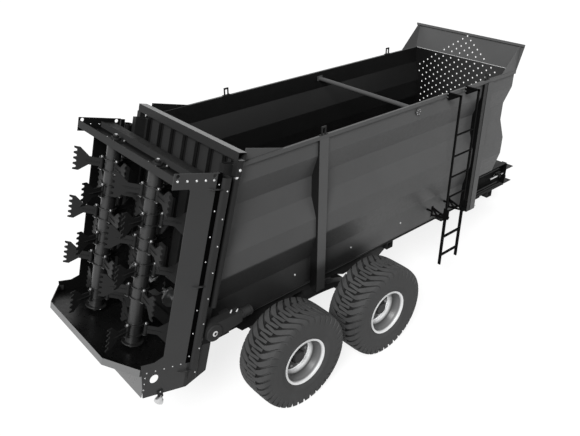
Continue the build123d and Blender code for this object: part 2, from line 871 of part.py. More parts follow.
def rotor(side, name):
    with BuildPart() as body:
        with BuildSketch(raked_deck(65, side * ROTOR_Y)):
            Circle(TUBE_R)
        extrude(amount=-1935)
        with BuildSketch(raked_deck(5, side * ROTOR_Y)):
            Circle(BEARING_R)
        extrude(amount=-2107)
        with BuildSketch(raked_deck(1985, side * ROTOR_Y)):
            Circle(115)
        extrude(amount=-15)
        for depth, turn in LEVELS:
            for offset in (-62, 62):
                with BuildSketch(raked_deck(depth + offset, side * ROTOR_Y)):
                    Circle(96)
                    with PolarLocations(SEAT_R, 3, start_angle=turn):
                        Circle(29)
                extrude(amount=5, both=True)
    save(body.part, f"rotor_tube_{name}")
    with BuildPart() as paddles:
        for depth, turn in LEVELS:
            for third in (0, 120, 240):
                level = raked_deck(depth, side * ROTOR_Y).location
                around = level * Rotation(0, 0, turn + third)
                with BuildSketch(Plane(around * Rotation(90, 0, 0))):
                    with BuildLine():
                        Polyline(*paddle_outline(), close=True)
                    make_face()
                extrude(amount=PADDLE_T / 2, both=True)
                with BuildSketch(Plane(around)):
                    with BuildLine():
                        Polyline((SEAT_R, -18), (270, -18), (345, 0), (270, 18), (SEAT_R, 18), close=True)
                    make_face()
                extrude(amount=4, both=True)
                with BuildSketch(Plane(around)):
                    with Locations((SEAT_R, 0)):
                        Circle(18.5)
                extrude(amount=57, both=True)
    save(paddles.part, f"rotor_paddles_{name}")


rotor(-1, "right")
rotor(1, "left")

# Rear door: folded panel under a box beam, lifted along the rear posts
DOOR_SHEET = 6
RIB_W = 50
RIB_H = 32
DOOR_RIBS = 7
with BuildPart() as door:
    with BuildSketch(raked_face(DOOR_T)):
        with Locations((0, -(DOOR_TOP + DOOR_BOTTOM) / 2)):
            Rectangle(2 * DOOR_HALF, DOOR_BOTTOM - DOOR_TOP)
    extrude(amount=DOOR_SHEET)
    with BuildSketch(raked_face(DOOR_T)):
        with Locations((0, -(DOOR_TOP + DOOR_BOTTOM) / 2)):
            with GridLocations(240, 0, DOOR_RIBS, 1):
                Rectangle(RIB_W, DOOR_BOTTOM - DOOR_TOP)
        with Locations((0, -DOOR_BOTTOM + 30)):
            Rectangle(1490, 60)
    extrude(amount=-RIB_H)
    with BuildSketch(raked_face(DOOR_T + DOOR_SHEET)):
        with Locations((0, -(DOOR_TOP + DOOR_BOTTOM - 60) / 2)):
            with GridLocations(240, 0, DOOR_RIBS, 1):
                Rectangle(RIB_W - 2 * DOOR_SHEET, DOOR_BOTTOM - DOOR_TOP - 60)
    extrude(amount=-RIB_H, mode=Mode.SUBTRACT)
    with BuildSketch(raked_side(BEAM_HALF)):
        with Locations((BEAM_T, -DOOR_TOP + BEAM_H / 2)):
            Rectangle(BEAM_W, BEAM_H)
            Rectangle(BEAM_W - 2 * DOOR_SHEET, BEAM_H - 2 * DOOR_SHEET, mode=Mode.SUBTRACT)
    extrude(amount=2 * BEAM_HALF)
save(door.part, "rear_door")

with BuildPart() as door_rods:
    for side in (-1, 1):
        with BuildSketch(raked_deck(DOOR_TOP, side * CYL_Y)):
            with Locations((CYL_T, 0)):
                Circle(ROD_R)
        extrude(amount=-1470)
        with BuildSketch(raked_deck(1280, side * CYL_Y)):
            with Locations((CYL_T, 0)):
                Circle(30 - SHAFT_GAP)
        extrude(amount=-30)
save(door_rods.part, "door_rods")

# Lift cylinders of the door
with BuildPart() as door_cylinders:
    for side in (-1, 1):
        with BuildSketch(raked_deck(20, side * CYL_Y)):
            with Locations((CYL_T, 0)):
                Circle(40)
                Circle(ROD_R + SHAFT_GAP, mode=Mode.SUBTRACT)
        extrude(amount=-50)
        with BuildSketch(raked_deck(70, side * CYL_Y)):
            with Locations((CYL_T, 0)):
                Circle(38)
                Circle(30, mode=Mode.SUBTRACT)
        extrude(amount=-1270)
        with BuildSketch(raked_deck(1340, side * CYL_Y)):
            with Locations((CYL_T, 0)):
                Circle(38)
        extrude(amount=-90)
        for s in (60, 1400):
            with BuildSketch(raked_deck(s, side * CYL_Y)):
                with Locations((CYL_T - 10, -side * 41)):
                    Rectangle(60, 18)
            extrude(amount=-50)
save(door_cylinders.part, "door_cylinders")

# Access ladder on the right wall: fixed upper part and folding lower part
LADDER_REAR = 3347
LADDER_W = 382
LADDER_X = (LADDER_REAR, LADDER_REAR + LADDER_W)
LADDER_Y = -1100
FOLD_Y = -1140
FOLD_Z = 1400
RUNG = 300
with BuildPart() as ladder_upper:
    for station in LADDER_X:
        with Locations((st(station), LADDER_Y, (1440 + 2760) / 2)):
            Box(26, 40, 2760 - 1440)
        inward = 1 if station == LADDER_X[0] else -1
        with Locations((st(station) - inward * 17, -1120, 1450)):
            Box(8, 90, 150)
        with BuildSketch(Plane.YZ.offset(st(station) - inward * 21)):
            with Locations((FOLD_Y, FOLD_Z)):
                Circle(8)
        extrude(amount=inward * 34)
        with Locations((st(station), -975, 1960)):
            Box(26, 210, 30)
        with BuildSketch(Plane.YZ.offset(st(station) - 13)):
            with BuildLine():
                Polyline((-1085, 2755), (-839.6, 2755), (-829.1, 2725), (-1085, 2725), close=True)
            make_face()
        extrude(amount=26)
    for i in range(4):
        with BuildSketch(Plane.YZ.offset(st(LADDER_X[0]) + 12)):
            with Locations((LADDER_Y, 1690 + i * RUNG)):
                Rectangle(30, 24)
        extrude(amount=LADDER_W - 24)
save(ladder_upper.part, "ladder_upper")

with BuildPart() as ladder_lower:
    for station in LADDER_X:
        inward = 1 if station == LADDER_X[0] else -1
        with Locations((st(station) + inward, LADDER_Y, (620 + 1415) / 2)):
            Box(20, 40, 1415 - 620)
        with BuildSketch(Plane.YZ.offset(st(station) - inward * 9)):
            with BuildLine():
                Polyline((-1115, 1415), (-1158, 1415), (-1158, 1385), (-1115, 1340), close=True)
            make_face()
            with Locations((FOLD_Y, FOLD_Z)):
                Circle(8 + PIN_GAP, mode=Mode.SUBTRACT)
        extrude(amount=inward * 20)
    for z in (1070, 770):
        with Locations((st(sum(LADDER_X) / 2), LADDER_Y, z)):
            Box(LADDER_W - 14, 30, 24)
save(ladder_lower.part, "ladder_lower")

# Round lamps under the rear corners
with BuildPart() as rear_lamps:
    for side in (-1, 1):
        with Locations((st(-1150), side * (FRAME_Y + PLATE_T + 4), 900)):
            Box(60, 8, 100)
        with BuildSketch(Plane.YZ.offset(st(-1190))):
            with Locations((side * 970, 838)):
                Circle(42)
        extrude(amount=65)
save(rear_lamps.part, "rear_lamps")
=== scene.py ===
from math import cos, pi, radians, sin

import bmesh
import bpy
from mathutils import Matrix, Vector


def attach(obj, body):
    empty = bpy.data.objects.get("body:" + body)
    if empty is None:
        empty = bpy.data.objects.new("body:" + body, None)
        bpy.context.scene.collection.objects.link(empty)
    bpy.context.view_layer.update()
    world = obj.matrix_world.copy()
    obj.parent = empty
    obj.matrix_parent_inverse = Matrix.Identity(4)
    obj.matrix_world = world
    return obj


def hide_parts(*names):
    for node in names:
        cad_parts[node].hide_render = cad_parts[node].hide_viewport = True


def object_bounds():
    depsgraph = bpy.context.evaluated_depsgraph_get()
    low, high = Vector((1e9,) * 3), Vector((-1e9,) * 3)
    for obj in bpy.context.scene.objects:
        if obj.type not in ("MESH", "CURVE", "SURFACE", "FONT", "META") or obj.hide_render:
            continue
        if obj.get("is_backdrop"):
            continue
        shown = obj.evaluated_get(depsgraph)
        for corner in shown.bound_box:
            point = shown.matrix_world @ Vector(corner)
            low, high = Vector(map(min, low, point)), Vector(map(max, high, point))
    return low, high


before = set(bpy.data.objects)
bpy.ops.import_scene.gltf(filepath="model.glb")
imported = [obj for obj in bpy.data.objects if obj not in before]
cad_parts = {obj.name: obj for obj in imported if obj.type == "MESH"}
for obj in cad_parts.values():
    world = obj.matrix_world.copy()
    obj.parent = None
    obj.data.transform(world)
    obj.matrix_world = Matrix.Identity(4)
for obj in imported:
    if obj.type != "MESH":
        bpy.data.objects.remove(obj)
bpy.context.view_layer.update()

# %% [markdown]
# # Dressing a manure spreader
# The solids of this towed spreader are already in the scene as a fixed frame, in metres, with +X towards
# the tractor and +Z up. This lesson adds what the solids leave out: paint, tyre bars, bolts, brackets,
# pipes, lamps and the light of a photo studio.

scene = bpy.context.scene
scene.view_settings.view_transform = "Standard"

# %% [markdown]
# ## Where things are
# The rear end leans with its top forwards, so its points are easiest to give as "so far forwards of the
# rotor axis, so far down it". Everything else is counted forwards from the hopper's rear top edge. The
# machine is nearly the same on both sides, so most pieces are drawn in a loop over the two sides.

# %% Stations along the machine and down the rotors
REAR_X = -2.590  # the hopper's rear top edge
LEAN = radians(15.5)
ROTOR_TOP = Vector((REAR_X - 0.585, 0.0, 3.150))  # between the rotors, level with the bearing plate
ROTOR_Y = 0.425  # each rotor axis from the middle
FORWARDS = Vector((cos(LEAN), 0, -sin(LEAN)))
DOWN = Vector((-sin(LEAN), 0, -cos(LEAN)))
UP = -DOWN


def station(x):
    return REAR_X + x


def leaning(forwards, down, y=0.0):
    point = ROTOR_TOP + FORWARDS * forwards + DOWN * down
    return Vector((point.x, y, point.z))


print("rotor foot:", tuple(round(v, 3) for v in leaning(0, 2.0, ROTOR_Y)))

# %% [markdown]
# ## Camera
# The camera stands behind the right side, above the hopper's edge, and looks down at 29 degrees. Its place
# was solved from the wheels, the ladder's rungs and the hopper's corners, so the picture lines up with them.
# The two small shifts move the picture on the sensor without turning the camera, so upright edges keep
# their slope.

# %% Stand the camera
LOOKS_DOWN = 29.09  # degrees
LOOKS_ALONG = 48.95  # degrees from +X towards +Y
camera_data = bpy.data.cameras.new("studio_camera")
camera_data.sensor_width = 36
camera_data.lens = 39.80
camera_data.shift_x = -0.0029
camera_data.shift_y = 0.0021
camera_data.clip_end = 300
camera = bpy.data.objects.new("studio_camera", camera_data)
camera.location = (REAR_X - 3.3397, -5.5530, 5.6684)
camera.rotation_euler = (radians(90 - LOOKS_DOWN), 0, radians(LOOKS_ALONG - 90))
scene.collection.objects.link(camera)
scene.camera = camera
print("camera at", tuple(round(v, 2) for v in camera.location))

# %% [markdown]
# ## Shader maths
# A material is a small circuit of nodes. Wrapping a socket in a class that knows plus and times lets the
# circuit be written as an ordinary sum, and one method makes every other kind of node.


# %% A class for sockets
class Wire:
    """An output socket that can be used in sums. Every sum adds a Math node."""

    def __init__(self, board, socket):
        self.board = board
        self.socket = socket

    def _math(self, operation, first, second):
        return self.board.add("ShaderNodeMath", {"operation": operation}, {0: first, 1: second})

    def __add__(self, other):
        return self._math("ADD", self, other)

    def __radd__(self, other):
        return self._math("ADD", other, self)

    def __sub__(self, other):
        return self._math("SUBTRACT", self, other)

    def __rsub__(self, other):
        return self._math("SUBTRACT", other, self)

    def __mul__(self, other):
        return self._math("MULTIPLY", self, other)

    def __rmul__(self, other):
        return self._math("MULTIPLY", other, self)


print("wires know + - *")


# %% A class for node trees
class Board:
    """The node tree of one material or of one Geometry Nodes group."""

    def __init__(self, tree):
        self.tree = tree

    def add(self, kind, settings=None, inputs=None, out=0):
        """A new node with its settings and inputs. Gives back one of its outputs."""
        node = self.tree.nodes.new(kind)
        for name, value in (settings or {}).items():
            if name == "stops":
                self.set_stops(node.color_ramp, value)
            else:
                setattr(node, name, value)
        for name, value in (inputs or {}).items():
            self.plug(node.inputs[name], value)
        wire = Wire(self, node.outputs[out]) if len(node.outputs) else None
        if wire:
            wire.node = node
        return wire

    def set_stops(self, ramp, stops):
        while len(ramp.elements) < len(stops):
            ramp.elements.new(0.5)
        for element, (place, colour) in zip(ramp.elements, stops):
            element.position = place
            element.color = colour

    def plug(self, socket, value):
        if isinstance(value, Wire):
            self.tree.links.new(value.socket, socket)
        else:
            socket.default_value = value


print("boards ready")

# %% [markdown]
# ## Small circuits
# All finishes share a few small circuits: noise at a chosen grain, a value moved from one range to another,
# two colours mixed, and a bump from a height. They take their place from the object's own coordinates,
# which are metres here, so a grain keeps its real size on every piece.


# %% Noise and ranges
def noise(board, place, scale, detail=3.0):
    settings = {"Vector": place, "Scale": scale, "Detail": detail, "Roughness": 0.55}
    return board.add("ShaderNodeTexNoise", {}, settings)


def remap(board, value, low, high, to_low, to_high):
    ends = {"Value": value, "From Min": low, "From Max": high, "To Min": to_low, "To Max": to_high}
    return board.add("ShaderNodeMapRange", {"clamp": True}, ends)


def share(board, value, start, full):
    """0 up to a start, 1 from full on, and a ramp between them."""
    return remap(board, value, start, full, 0.0, 1.0)


def split(board, vector, axis):
    return board.add("ShaderNodeSeparateXYZ", {}, {0: vector}, out=axis)


print("small circuits:", [circuit.__name__ for circuit in (noise, remap, share, split)])

# %% Mixes, bumps and a new finish
MIX_FIRST, MIX_SECOND, MIX_RESULT = 6, 7, 2  # the colour sockets of a Mix node
OBJECT_PLACE = 3  # the output of a Texture Coordinate node that gives object coordinates


def mix_colour(board, factor, first, second, blend="MIX"):
    settings = {"data_type": "RGBA", "blend_type": blend}
    inputs = {"Factor": factor, MIX_FIRST: first, MIX_SECOND: second}
    return board.add("ShaderNodeMix", settings, inputs, out=MIX_RESULT)


def bump(board, shader, height, strength, distance):
    given = {"Strength": strength, "Distance": distance, "Height": height}
    board.plug(shader.inputs["Normal"], board.add("ShaderNodeBump", {}, given))


def new_finish(name):
    finish = bpy.data.materials.new(name)
    finish.use_nodes = True
    board = Board(finish.node_tree)
    shader = finish.node_tree.nodes["Principled BSDF"]
    return finish, board, shader, board.add("ShaderNodeTexCoord", {}, {}, out=OBJECT_PLACE)


def grey(value):
    """A grey with a trace of blue."""
    return (value, value * 1.005, value * 1.01, 1.0)


print("paint grey:", grey(0.063))

# %% [markdown]
# ## Paint
# The body is sprayed sheet steel in a dark grey. Light and shade are painted into that grey: faces that
# look up, down or to the rear get a painted lighter or darker grey by their own direction, and the inside
# of the hopper gets a painted shade almost black. Zones do the rest: a zone is the space inside a few flat
# edges, each with a soft border, and there the paint gets a painted shade, as low on the walls by the wheels.


# %% Painted light and shade by direction and by zone
def painted_light_by_facing(board, normal, shade, up, down, rear):
    """Grey of a coat, multiplied on faces that look to the rear, up or down: painted light and shade."""
    coat = grey(shade)
    looks = ((rear, "X", -0.45, -0.75), (up, "Z", 0.55, 0.85), (down, "Z", -0.12, -0.30))
    for times, axis, start, full in looks:
        if times != 1.0:
            facing = share(board, split(board, normal, axis), start, full)
            coat = mix_colour(board, facing, coat, grey(shade * times))
    return coat


def painted_inner_shade(board, place, normal, coat, inside):
    """Painted shade: another grey on faces that look towards the middle plane, a little lighter as painted
    light where they also look up.
    """
    turned_in = split(board, place, "Y") * split(board, normal, "Y")
    level = share(board, split(board, normal, "Z"), 0.1, 0.3)
    inner_shade = mix_colour(board, level, grey(inside), grey(inside * 1.3))
    return mix_colour(board, share(board, turned_in, -0.05, -0.2), coat, inner_shade)


def edge(direction, origin, start, full):
    """One edge of a zone: where it starts and where it is full, along a direction from an origin."""
    direction, origin = Vector(direction), Vector(origin)
    way = 1 if full > start else -1
    base = origin.dot(direction)
    return direction * way, way * (base + start), way * (base + full)


def covered(board, place, edges):
    """1 inside all edges of a zone and 0 outside."""
    cover = 1.0
    for direction, start, full in edges:
        dot = {"operation": "DOT_PRODUCT"}
        reach = board.add("ShaderNodeVectorMath", dot, {0: place, 1: direction}, out="Value")
        cover = share(board, reach, start, full) * cover
    return cover


print("one edge:", edge((0, 0, 1), (0, 0, 0), 1.86, 1.81))

# %% [markdown]
# ## One coat of paint
# A coat puts the pieces together. Broad noise shifts the grey by a few percent, fine noise changes how
# rough it is, and the finest noise gives the orange-peel skin of sprayed paint. The grey is multiplied by a
# colour that runs from black to twice white, because a Mix node works on colours and not on plain numbers.


# %% Sprayed steel
def sprayed(
    name, shade, up=1.0, down=1.0, rear=1.0, rough=0.42, metallic=0.0, gloss=0.25, inside=None, rise=0.0,
    zones=(),
):
    """Paint of one grey. Zones are pairs of (what is left of the grey, edges) and paint shade; rise lightens
    it forwards as painted light.
    """
    finish, board, shader, place = new_finish(name)
    normal = board.add("ShaderNodeNewGeometry", {}, {}, out="Normal")
    coat = painted_light_by_facing(board, normal, shade, up, down, rear)
    if inside is not None:
        coat = painted_inner_shade(board, place, normal, coat, inside)
    # Painted light: the grey rises forwards along the machine by rise.
    along = remap(board, split(board, place, "X"), -2.6, 2.2, 1.0 - rise, 1.0 + rise)
    factor = remap(board, noise(board, place, 1.3), 0.3, 0.7, 0.94, 1.06) * along
    # Painted shade: each zone keeps only part of the grey.
    for left, edges in zones:
        factor = factor * (1.0 - covered(board, place, edges) * (1.0 - left))
    times = mix_colour(board, factor * 0.5, (0.0, 0.0, 0.0, 1.0), (2.0, 2.0, 2.0, 1.0))
    board.plug(shader.inputs["Base Color"], mix_colour(board, 1.0, coat, times, "MULTIPLY"))
    uneven = remap(board, noise(board, place, 26.0, 4.0), 0.3, 0.7, rough - 0.05, rough + 0.07)
    board.plug(shader.inputs["Roughness"], uneven)
    shader.inputs["Metallic"].default_value = metallic
    shader.inputs["Specular IOR Level"].default_value = gloss
    bump(board, shader, noise(board, place, 420.0, 2.0), 0.1, 0.0006)
    return finish


# %% [markdown]
# ## The paints
# Each painted part has its own grey and its own painted light and shade, as each lies at its own angle to
# the light: walls get painted shade low down by the wheels, and the tray gets painted shade that leaves its
# upper side nearly black and painted light that makes its rim lighter. The greys were set by laying the
# render beside the photograph.

# %% Zones of painted shade
AHEAD = Vector((1, 0, 0))
LEFT = Vector((0, 1, 0))
ORIGIN = (0, 0, 0)
REAR_EDGE = (REAR_X, 0, 0)
UPWARDS = (0, 0, 1)
# Painted shade low on the walls: over the rear wheel below the fold, and lower down between the wheels.
LOW_REAR_SHADE = [edge(UPWARDS, ORIGIN, 1.86, 1.81), edge(AHEAD, REAR_EDGE, 2.1, 1.2)]
SHADE_BETWEEN_WHEELS = [edge(UPWARDS, ORIGIN, 1.47, 1.30), edge(AHEAD, REAR_EDGE, 2.5, 1.9)]
SHADE_BETWEEN_WHEELS.append(edge(AHEAD, REAR_EDGE, 0.7, 1.2))
# Painted shade in the recessed joint at the side plate's front edge.
RECESS_SHADE = [edge(FORWARDS, ROTOR_TOP, 0.336, 0.342)]
# Painted shade on the backs of the door's ribs.
RIB_BACK_SHADE = [edge(FORWARDS, ROTOR_TOP, 0.564, 0.558), edge(DOWN, ROTOR_TOP, -0.152, -0.146)]
# Painted shade on a band at the rear of the post's face, and at the post's foot by the wheels.
POST_REAR_SHADE = [edge(AHEAD, REAR_EDGE, 4.120, 4.125), edge(AHEAD, REAR_EDGE, 4.230, 4.224)]
POST_FOOT_SHADE = [edge(UPWARDS, ORIGIN, 1.52, 1.38), edge(AHEAD, REAR_EDGE, 2.0, 1.9)]
SHADED_SIDE = [edge(LEFT, ORIGIN, -0.45, 0.65)]
SHADED_FOOT = [edge(UPWARDS, ORIGIN, 2.75, 2.2)]
print("splash zone:", LOW_REAR_SHADE)

# %% The paints
# Painted shade low on the walls, where the wheels shade them.
PAINTED_WHEEL_SHADE = [(0.22, LOW_REAR_SHADE), (0.22, SHADE_BETWEEN_WHEELS)]
# Wall: painted shade on faces that look down, inside the hopper and low by the wheels; painted light rises
# forwards.
WALL = sprayed("wall_paint", 0.063, down=0.95, inside=0.0042, rise=0.14, zones=PAINTED_WHEEL_SHADE)
# Headboard: painted light rises forwards.
HEAD = sprayed("headboard_paint", 0.075, rise=0.05)
BODY = sprayed("body_paint", 0.062, gloss=0.15)
# Side plates: painted shade on faces that look down, on the inside and in the recess at the front edge.
PLATE = sprayed("rotor_frame_paint", 0.040, down=0.6, inside=0.004, gloss=0.15, zones=[(0.46, RECESS_SHADE)])
# Top channel: painted shade on faces that look up, painted light on faces that look to the rear.
TOP = sprayed("top_channel_paint", 0.018, up=0.16, rear=1.6, gloss=0.03)
# Door: painted highlight on faces that look up, painted light on faces that look to the rear, painted shade
# on the rib backs.
DOOR = sprayed("door_paint", 0.015, up=15.0, rear=1.5, gloss=0.06, zones=[(0.12, RIB_BACK_SHADE)])
# Tray: painted shade on faces that look up, painted light on the rim that looks to the rear.
TRAY = sprayed("tray_paint", 0.032, up=0.10, rear=4.5, gloss=0.25, rough=0.3)
FRAME = sprayed("frame_paint", 0.013, rough=0.45, gloss=0.12)
# Rails: a near-black grey as painted shade of their recess, painted light on faces that look up.
RAIL = sprayed("rail_paint", 0.004, up=8.0, gloss=0.02)
FRONT = sprayed("front_wall_paint", 0.043, gloss=0.12, zones=[(0.15, SHADED_SIDE), (0.35, SHADED_FOOT)])
# Posts: painted shade on faces that look to the rear, on a band at the rear of the face and at the foot.
POST = sprayed("post_paint", 0.066, rear=0.10, zones=[(0.06, POST_REAR_SHADE), (0.25, POST_FOOT_SHADE)])
# Painted shade: a near-black grey for dark recesses and holes.
SHADE_BLACK = sprayed("painted_shade_black", 0.002, rough=0.7, gloss=0.0)
# Rotor tubes: painted light on the side that looks to the rear.
ROTOR = sprayed("rotor_paint", 0.013, rear=2.8, rough=0.30, metallic=0.1, gloss=0.3)
# Paddles: painted shade on faces that look down.
PADDLE = sprayed("paddle_paint", 0.017, down=0.3, rough=0.40, gloss=0.06)
LADDER = sprayed("ladder_paint", 0.004, rough=0.5, gloss=0.02)
FLOOR = sprayed("floor_paint", 0.008, rough=0.55)
print("paints:", [paint.name for paint in bpy.data.materials if paint.name.endswith("_paint")])

# %% [markdown]
# ## Bare metal and castings
# Bright parts are zinc plated or worked steel: metallic, with streaks and changing roughness. The streaks
# are noise stretched along one axis. Castings are dull and pitted, so they get a strong bump from a fine
# grain and almost no gloss.


# %% Bright metal and cast iron
def bright_metal(name, shade, rough=0.28):
    finish, board, shader, place = new_finish(name)
    stretched = board.add("ShaderNodeMapping", {}, {"Vector": place, "Scale": (6.0, 6.0, 60.0)})
    lines = noise(board, stretched, 3.0, 4.0)
    blotch = share(board, noise(board, place, 9.0), 0.3, 0.7)
    board.plug(shader.inputs["Base Color"], mix_colour(board, blotch, grey(shade * 0.86), grey(shade * 1.06)))
    board.plug(shader.inputs["Roughness"], remap(board, lines, 0.3, 0.7, rough - 0.06, rough + 0.12))
    shader.inputs["Metallic"].default_value = 0.9
    bump(board, shader, lines, 0.15, 0.0005)
    return finish


def cast_iron(name, shade):
    finish, board, shader, place = new_finish(name)
    blotch = noise(board, place, 7.0)
    board.plug(shader.inputs["Base Color"], mix_colour(board, blotch, grey(shade * 0.8), grey(shade * 1.25)))
    board.plug(shader.inputs["Roughness"], remap(board, blotch, 0.3, 0.7, 0.5, 0.66))
    shader.inputs["Specular IOR Level"].default_value = 0.2
    bump(board, shader, noise(board, place, 160.0, 4.0), 0.5, 0.0012)
    return finish


ZINC = bright_metal("zinc_plate", 0.62)
CHROME = bright_metal("rod_chrome", 0.80, rough=0.12)
WORN = bright_metal("worn_steel", 0.30, rough=0.45)
CAST = cast_iron("gear_casting", 0.016)
print("metals:", [metal.name for metal in (ZINC, CHROME, WORN, CAST)])

# %% [markdown]
# ## Rubber and rims
# Rubber is dark with a grey bloom, and the grooves between the bars get a painted shade that makes them
# darker still. Rims have bright lips, a duller well between them and a dark middle; their bright inner ring
# is painted light on a face that turns into shade. Both change with the distance from the axle, so one
# circuit measures that distance, and a colour ramp or a range turns it into rings.

# %% Rubber
WHEEL_X = {"rear": station(0.508), "front": station(1.926)}
AXLE_Z = 0.624
TYRE_Y = 1.150


def from_axle(board, place, x):
    across = board.add("ShaderNodeVectorMath", {"operation": "SUBTRACT"}, {0: place, 1: (x, 0.0, AXLE_Z)})
    flat = board.add("ShaderNodeVectorMath", {"operation": "MULTIPLY"}, {0: across, 1: (1.0, 0.0, 1.0)})
    return board.add("ShaderNodeVectorMath", {"operation": "LENGTH"}, {0: flat}, out="Value")


def positive(board, value):
    return board.add("ShaderNodeMath", {"operation": "ABSOLUTE"}, {0: value})


def tyre_rubber(name, x):
    finish, board, shader, place = new_finish(name)
    bloom = noise(board, place, 5.0, 4.0)
    colour = mix_colour(board, share(board, bloom, 0.35, 0.7), grey(0.045), grey(0.061))
    from_middle = positive(board, positive(board, split(board, place, "Y")) - TYRE_Y)
    # Painted shade in the grooves between the bars, less towards the shoulders.
    between_bars = remap(board, from_axle(board, place, x), 0.606, 0.618, 1.0, 0.0)
    groove_shade = between_bars * remap(board, from_middle, 0.11, 0.21, 1.0, 0.15)
    board.plug(shader.inputs["Base Color"], mix_colour(board, groove_shade, colour, grey(0.008)))
    board.plug(shader.inputs["Roughness"], remap(board, bloom, 0.3, 0.7, 0.62, 0.78))
    shader.inputs["Specular IOR Level"].default_value = 0.2
    bump(board, shader, noise(board, place, 220.0, 3.0), 0.35, 0.0008)
    return finish


TYRE = {axle: tyre_rubber(f"tyre_rubber_{axle}", x) for axle, x in WHEEL_X.items()}
print("rubber for the axles:", list(TYRE))

# %% Rims
RIM_RADIUS = 0.3
RIM_RINGS = [
    # part of the rim's radius, grey from there on
    (0.0, 0.012),
    (0.36, 0.012),
    (0.40, 0.05),
    (0.62, 0.06),
    (0.695, 0.03),
    # a near-white ring, painted light on a face that turns into shade
    (0.712, 0.80),
    (0.765, 0.80),
    (0.785, 0.06),
    (0.892, 0.15),
    (0.908, 0.72),
]


def rim_silver(name, x):
    finish, board, shader, place = new_finish(name)
    stops = [(part, grey(shade)) for part, shade in RIM_RINGS]
    part = from_axle(board, place, x) * (1 / RIM_RADIUS)
    rings = board.add("ShaderNodeValToRGB", {"stops": stops}, {"Fac": part}, out="Color")
    board.plug(shader.inputs["Base Color"], rings)
    board.plug(shader.inputs["Roughness"], remap(board, noise(board, place, 9.0), 0.3, 0.7, 0.34, 0.46))
    shader.inputs["Metallic"].default_value = 0.20
    shader.inputs["Specular IOR Level"].default_value = 0.25
    return finish


RIM = {axle: rim_silver(f"rim_silver_{axle}", x) for axle, x in WHEEL_X.items()}
print("rims for the axles:", list(RIM))

# %% [markdown]
# ## Which finish goes where
# Each solid keeps its shape and only gets a better material in its slot. A table of the finishes, each with
# the solids that wear it, is the shortest way to say so. The tyres and rims are not in it, because their
# finish depends on the axle.

# %% Dress the solids
WEARERS = [
    (WALL, "side_wall_right side_wall_left"),
    (POST, "wall_posts"),
    (FRONT, "front_wall"),
    (HEAD, "headboard"),
    (BODY, "tie_bar"),
    (FRAME, "lifting_eyes rear_frame cross_members axles leaf_springs drawbar door_cylinders"),
    (RAIL, "chassis_rails chain_tensioners"),
    (FLOOR, "floor_plate"),
    (WORN, "floor_chains conveyor_shafts drive_line"),
    (CAST, "conveyor_drive towing_eye rotor_gears"),
    (ZINC, "jack_leg rear_lamps"),
    (PLATE, "rotor_frame_right rotor_frame_left"),
    (TOP, "rotor_frame_top"),
    (TRAY, "spreading_tray"),
    (ROTOR, "rotor_tube_right rotor_tube_left"),
    (PADDLE, "rotor_paddles_right rotor_paddles_left"),
    (DOOR, "rear_door"),
    (CHROME, "door_rods"),
    (LADDER, "ladder_upper ladder_lower"),
]
FINISH_OF = {name: finish for finish, names in WEARERS for name in names.split()}
for name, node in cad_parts.items():
    axle = "rear" if "rear" in name else "front"
    finish = FINISH_OF.get(name) or (TYRE if name.startswith("tyre") else RIM)[axle]
    node.data.materials.clear()
    node.data.materials.append(finish)
print("dressed", len(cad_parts), "solids")

# %% [markdown]
# ## Copies with Geometry Nodes
# A spreader has hundreds of equal bolts and tyre bars. Modelling one and letting a node tree place the rest
# keeps them equal, and a change to the one changes them all. The first tree puts a shape on points that
# carry the direction it should face. The second turns copies of a shape evenly about a wheel's axis.


# %% Start a node tree with named inputs
def start_tree(name, inputs):
    tree = bpy.data.node_groups.new(name, "GeometryNodeTree")
    tree.interface.new_socket("Geometry", in_out="INPUT", socket_type="NodeSocketGeometry")
    for label, kind in inputs:
        tree.interface.new_socket(label, in_out="INPUT", socket_type="NodeSocket" + kind)
    tree.interface.new_socket("Geometry", in_out="OUTPUT", socket_type="NodeSocketGeometry")
    board = Board(tree)
    outputs = board.add("NodeGroupInput").node.outputs
    return tree, board, {key.name: Wire(board, key) for key in outputs if key.name}


def shape_of(board, given):
    settings = {"Object": given["Shape"], "As Instance": False}
    return board.add("GeometryNodeObjectInfo", {}, settings, out="Geometry")


def end_tree(board, given, placed):
    solid = board.add("GeometryNodeRealizeInstances", {}, {"Geometry": placed})
    done = board.add("GeometryNodeSetMaterial", {}, {"Geometry": solid, "Material": given["Finish"]})
    board.add("NodeGroupOutput", {}, {"Geometry": done})


print("tree helpers ready")


# %% The two trees
def facing_tree():
    inputs = [("Shape", "Object"), ("Size", "Float"), ("Finish", "Material")]
    tree, board, given = start_tree("on_points_facing_out", inputs)
    out = board.add("GeometryNodeInputNamedAttribute", {"data_type": "FLOAT_VECTOR"}, {"Name": "out"})
    turn = board.add("FunctionNodeAlignRotationToVector", {"axis": "Z"}, {"Vector": out})
    points = board.add("GeometryNodeMeshToPoints", {}, {"Mesh": given["Geometry"]})
    size = board.add("ShaderNodeCombineXYZ", {}, {axis: given["Size"] for axis in "XYZ"})
    copies = {"Points": points, "Instance": shape_of(board, given), "Rotation": turn, "Scale": size}
    end_tree(board, given, board.add("GeometryNodeInstanceOnPoints", {}, copies))
    return tree


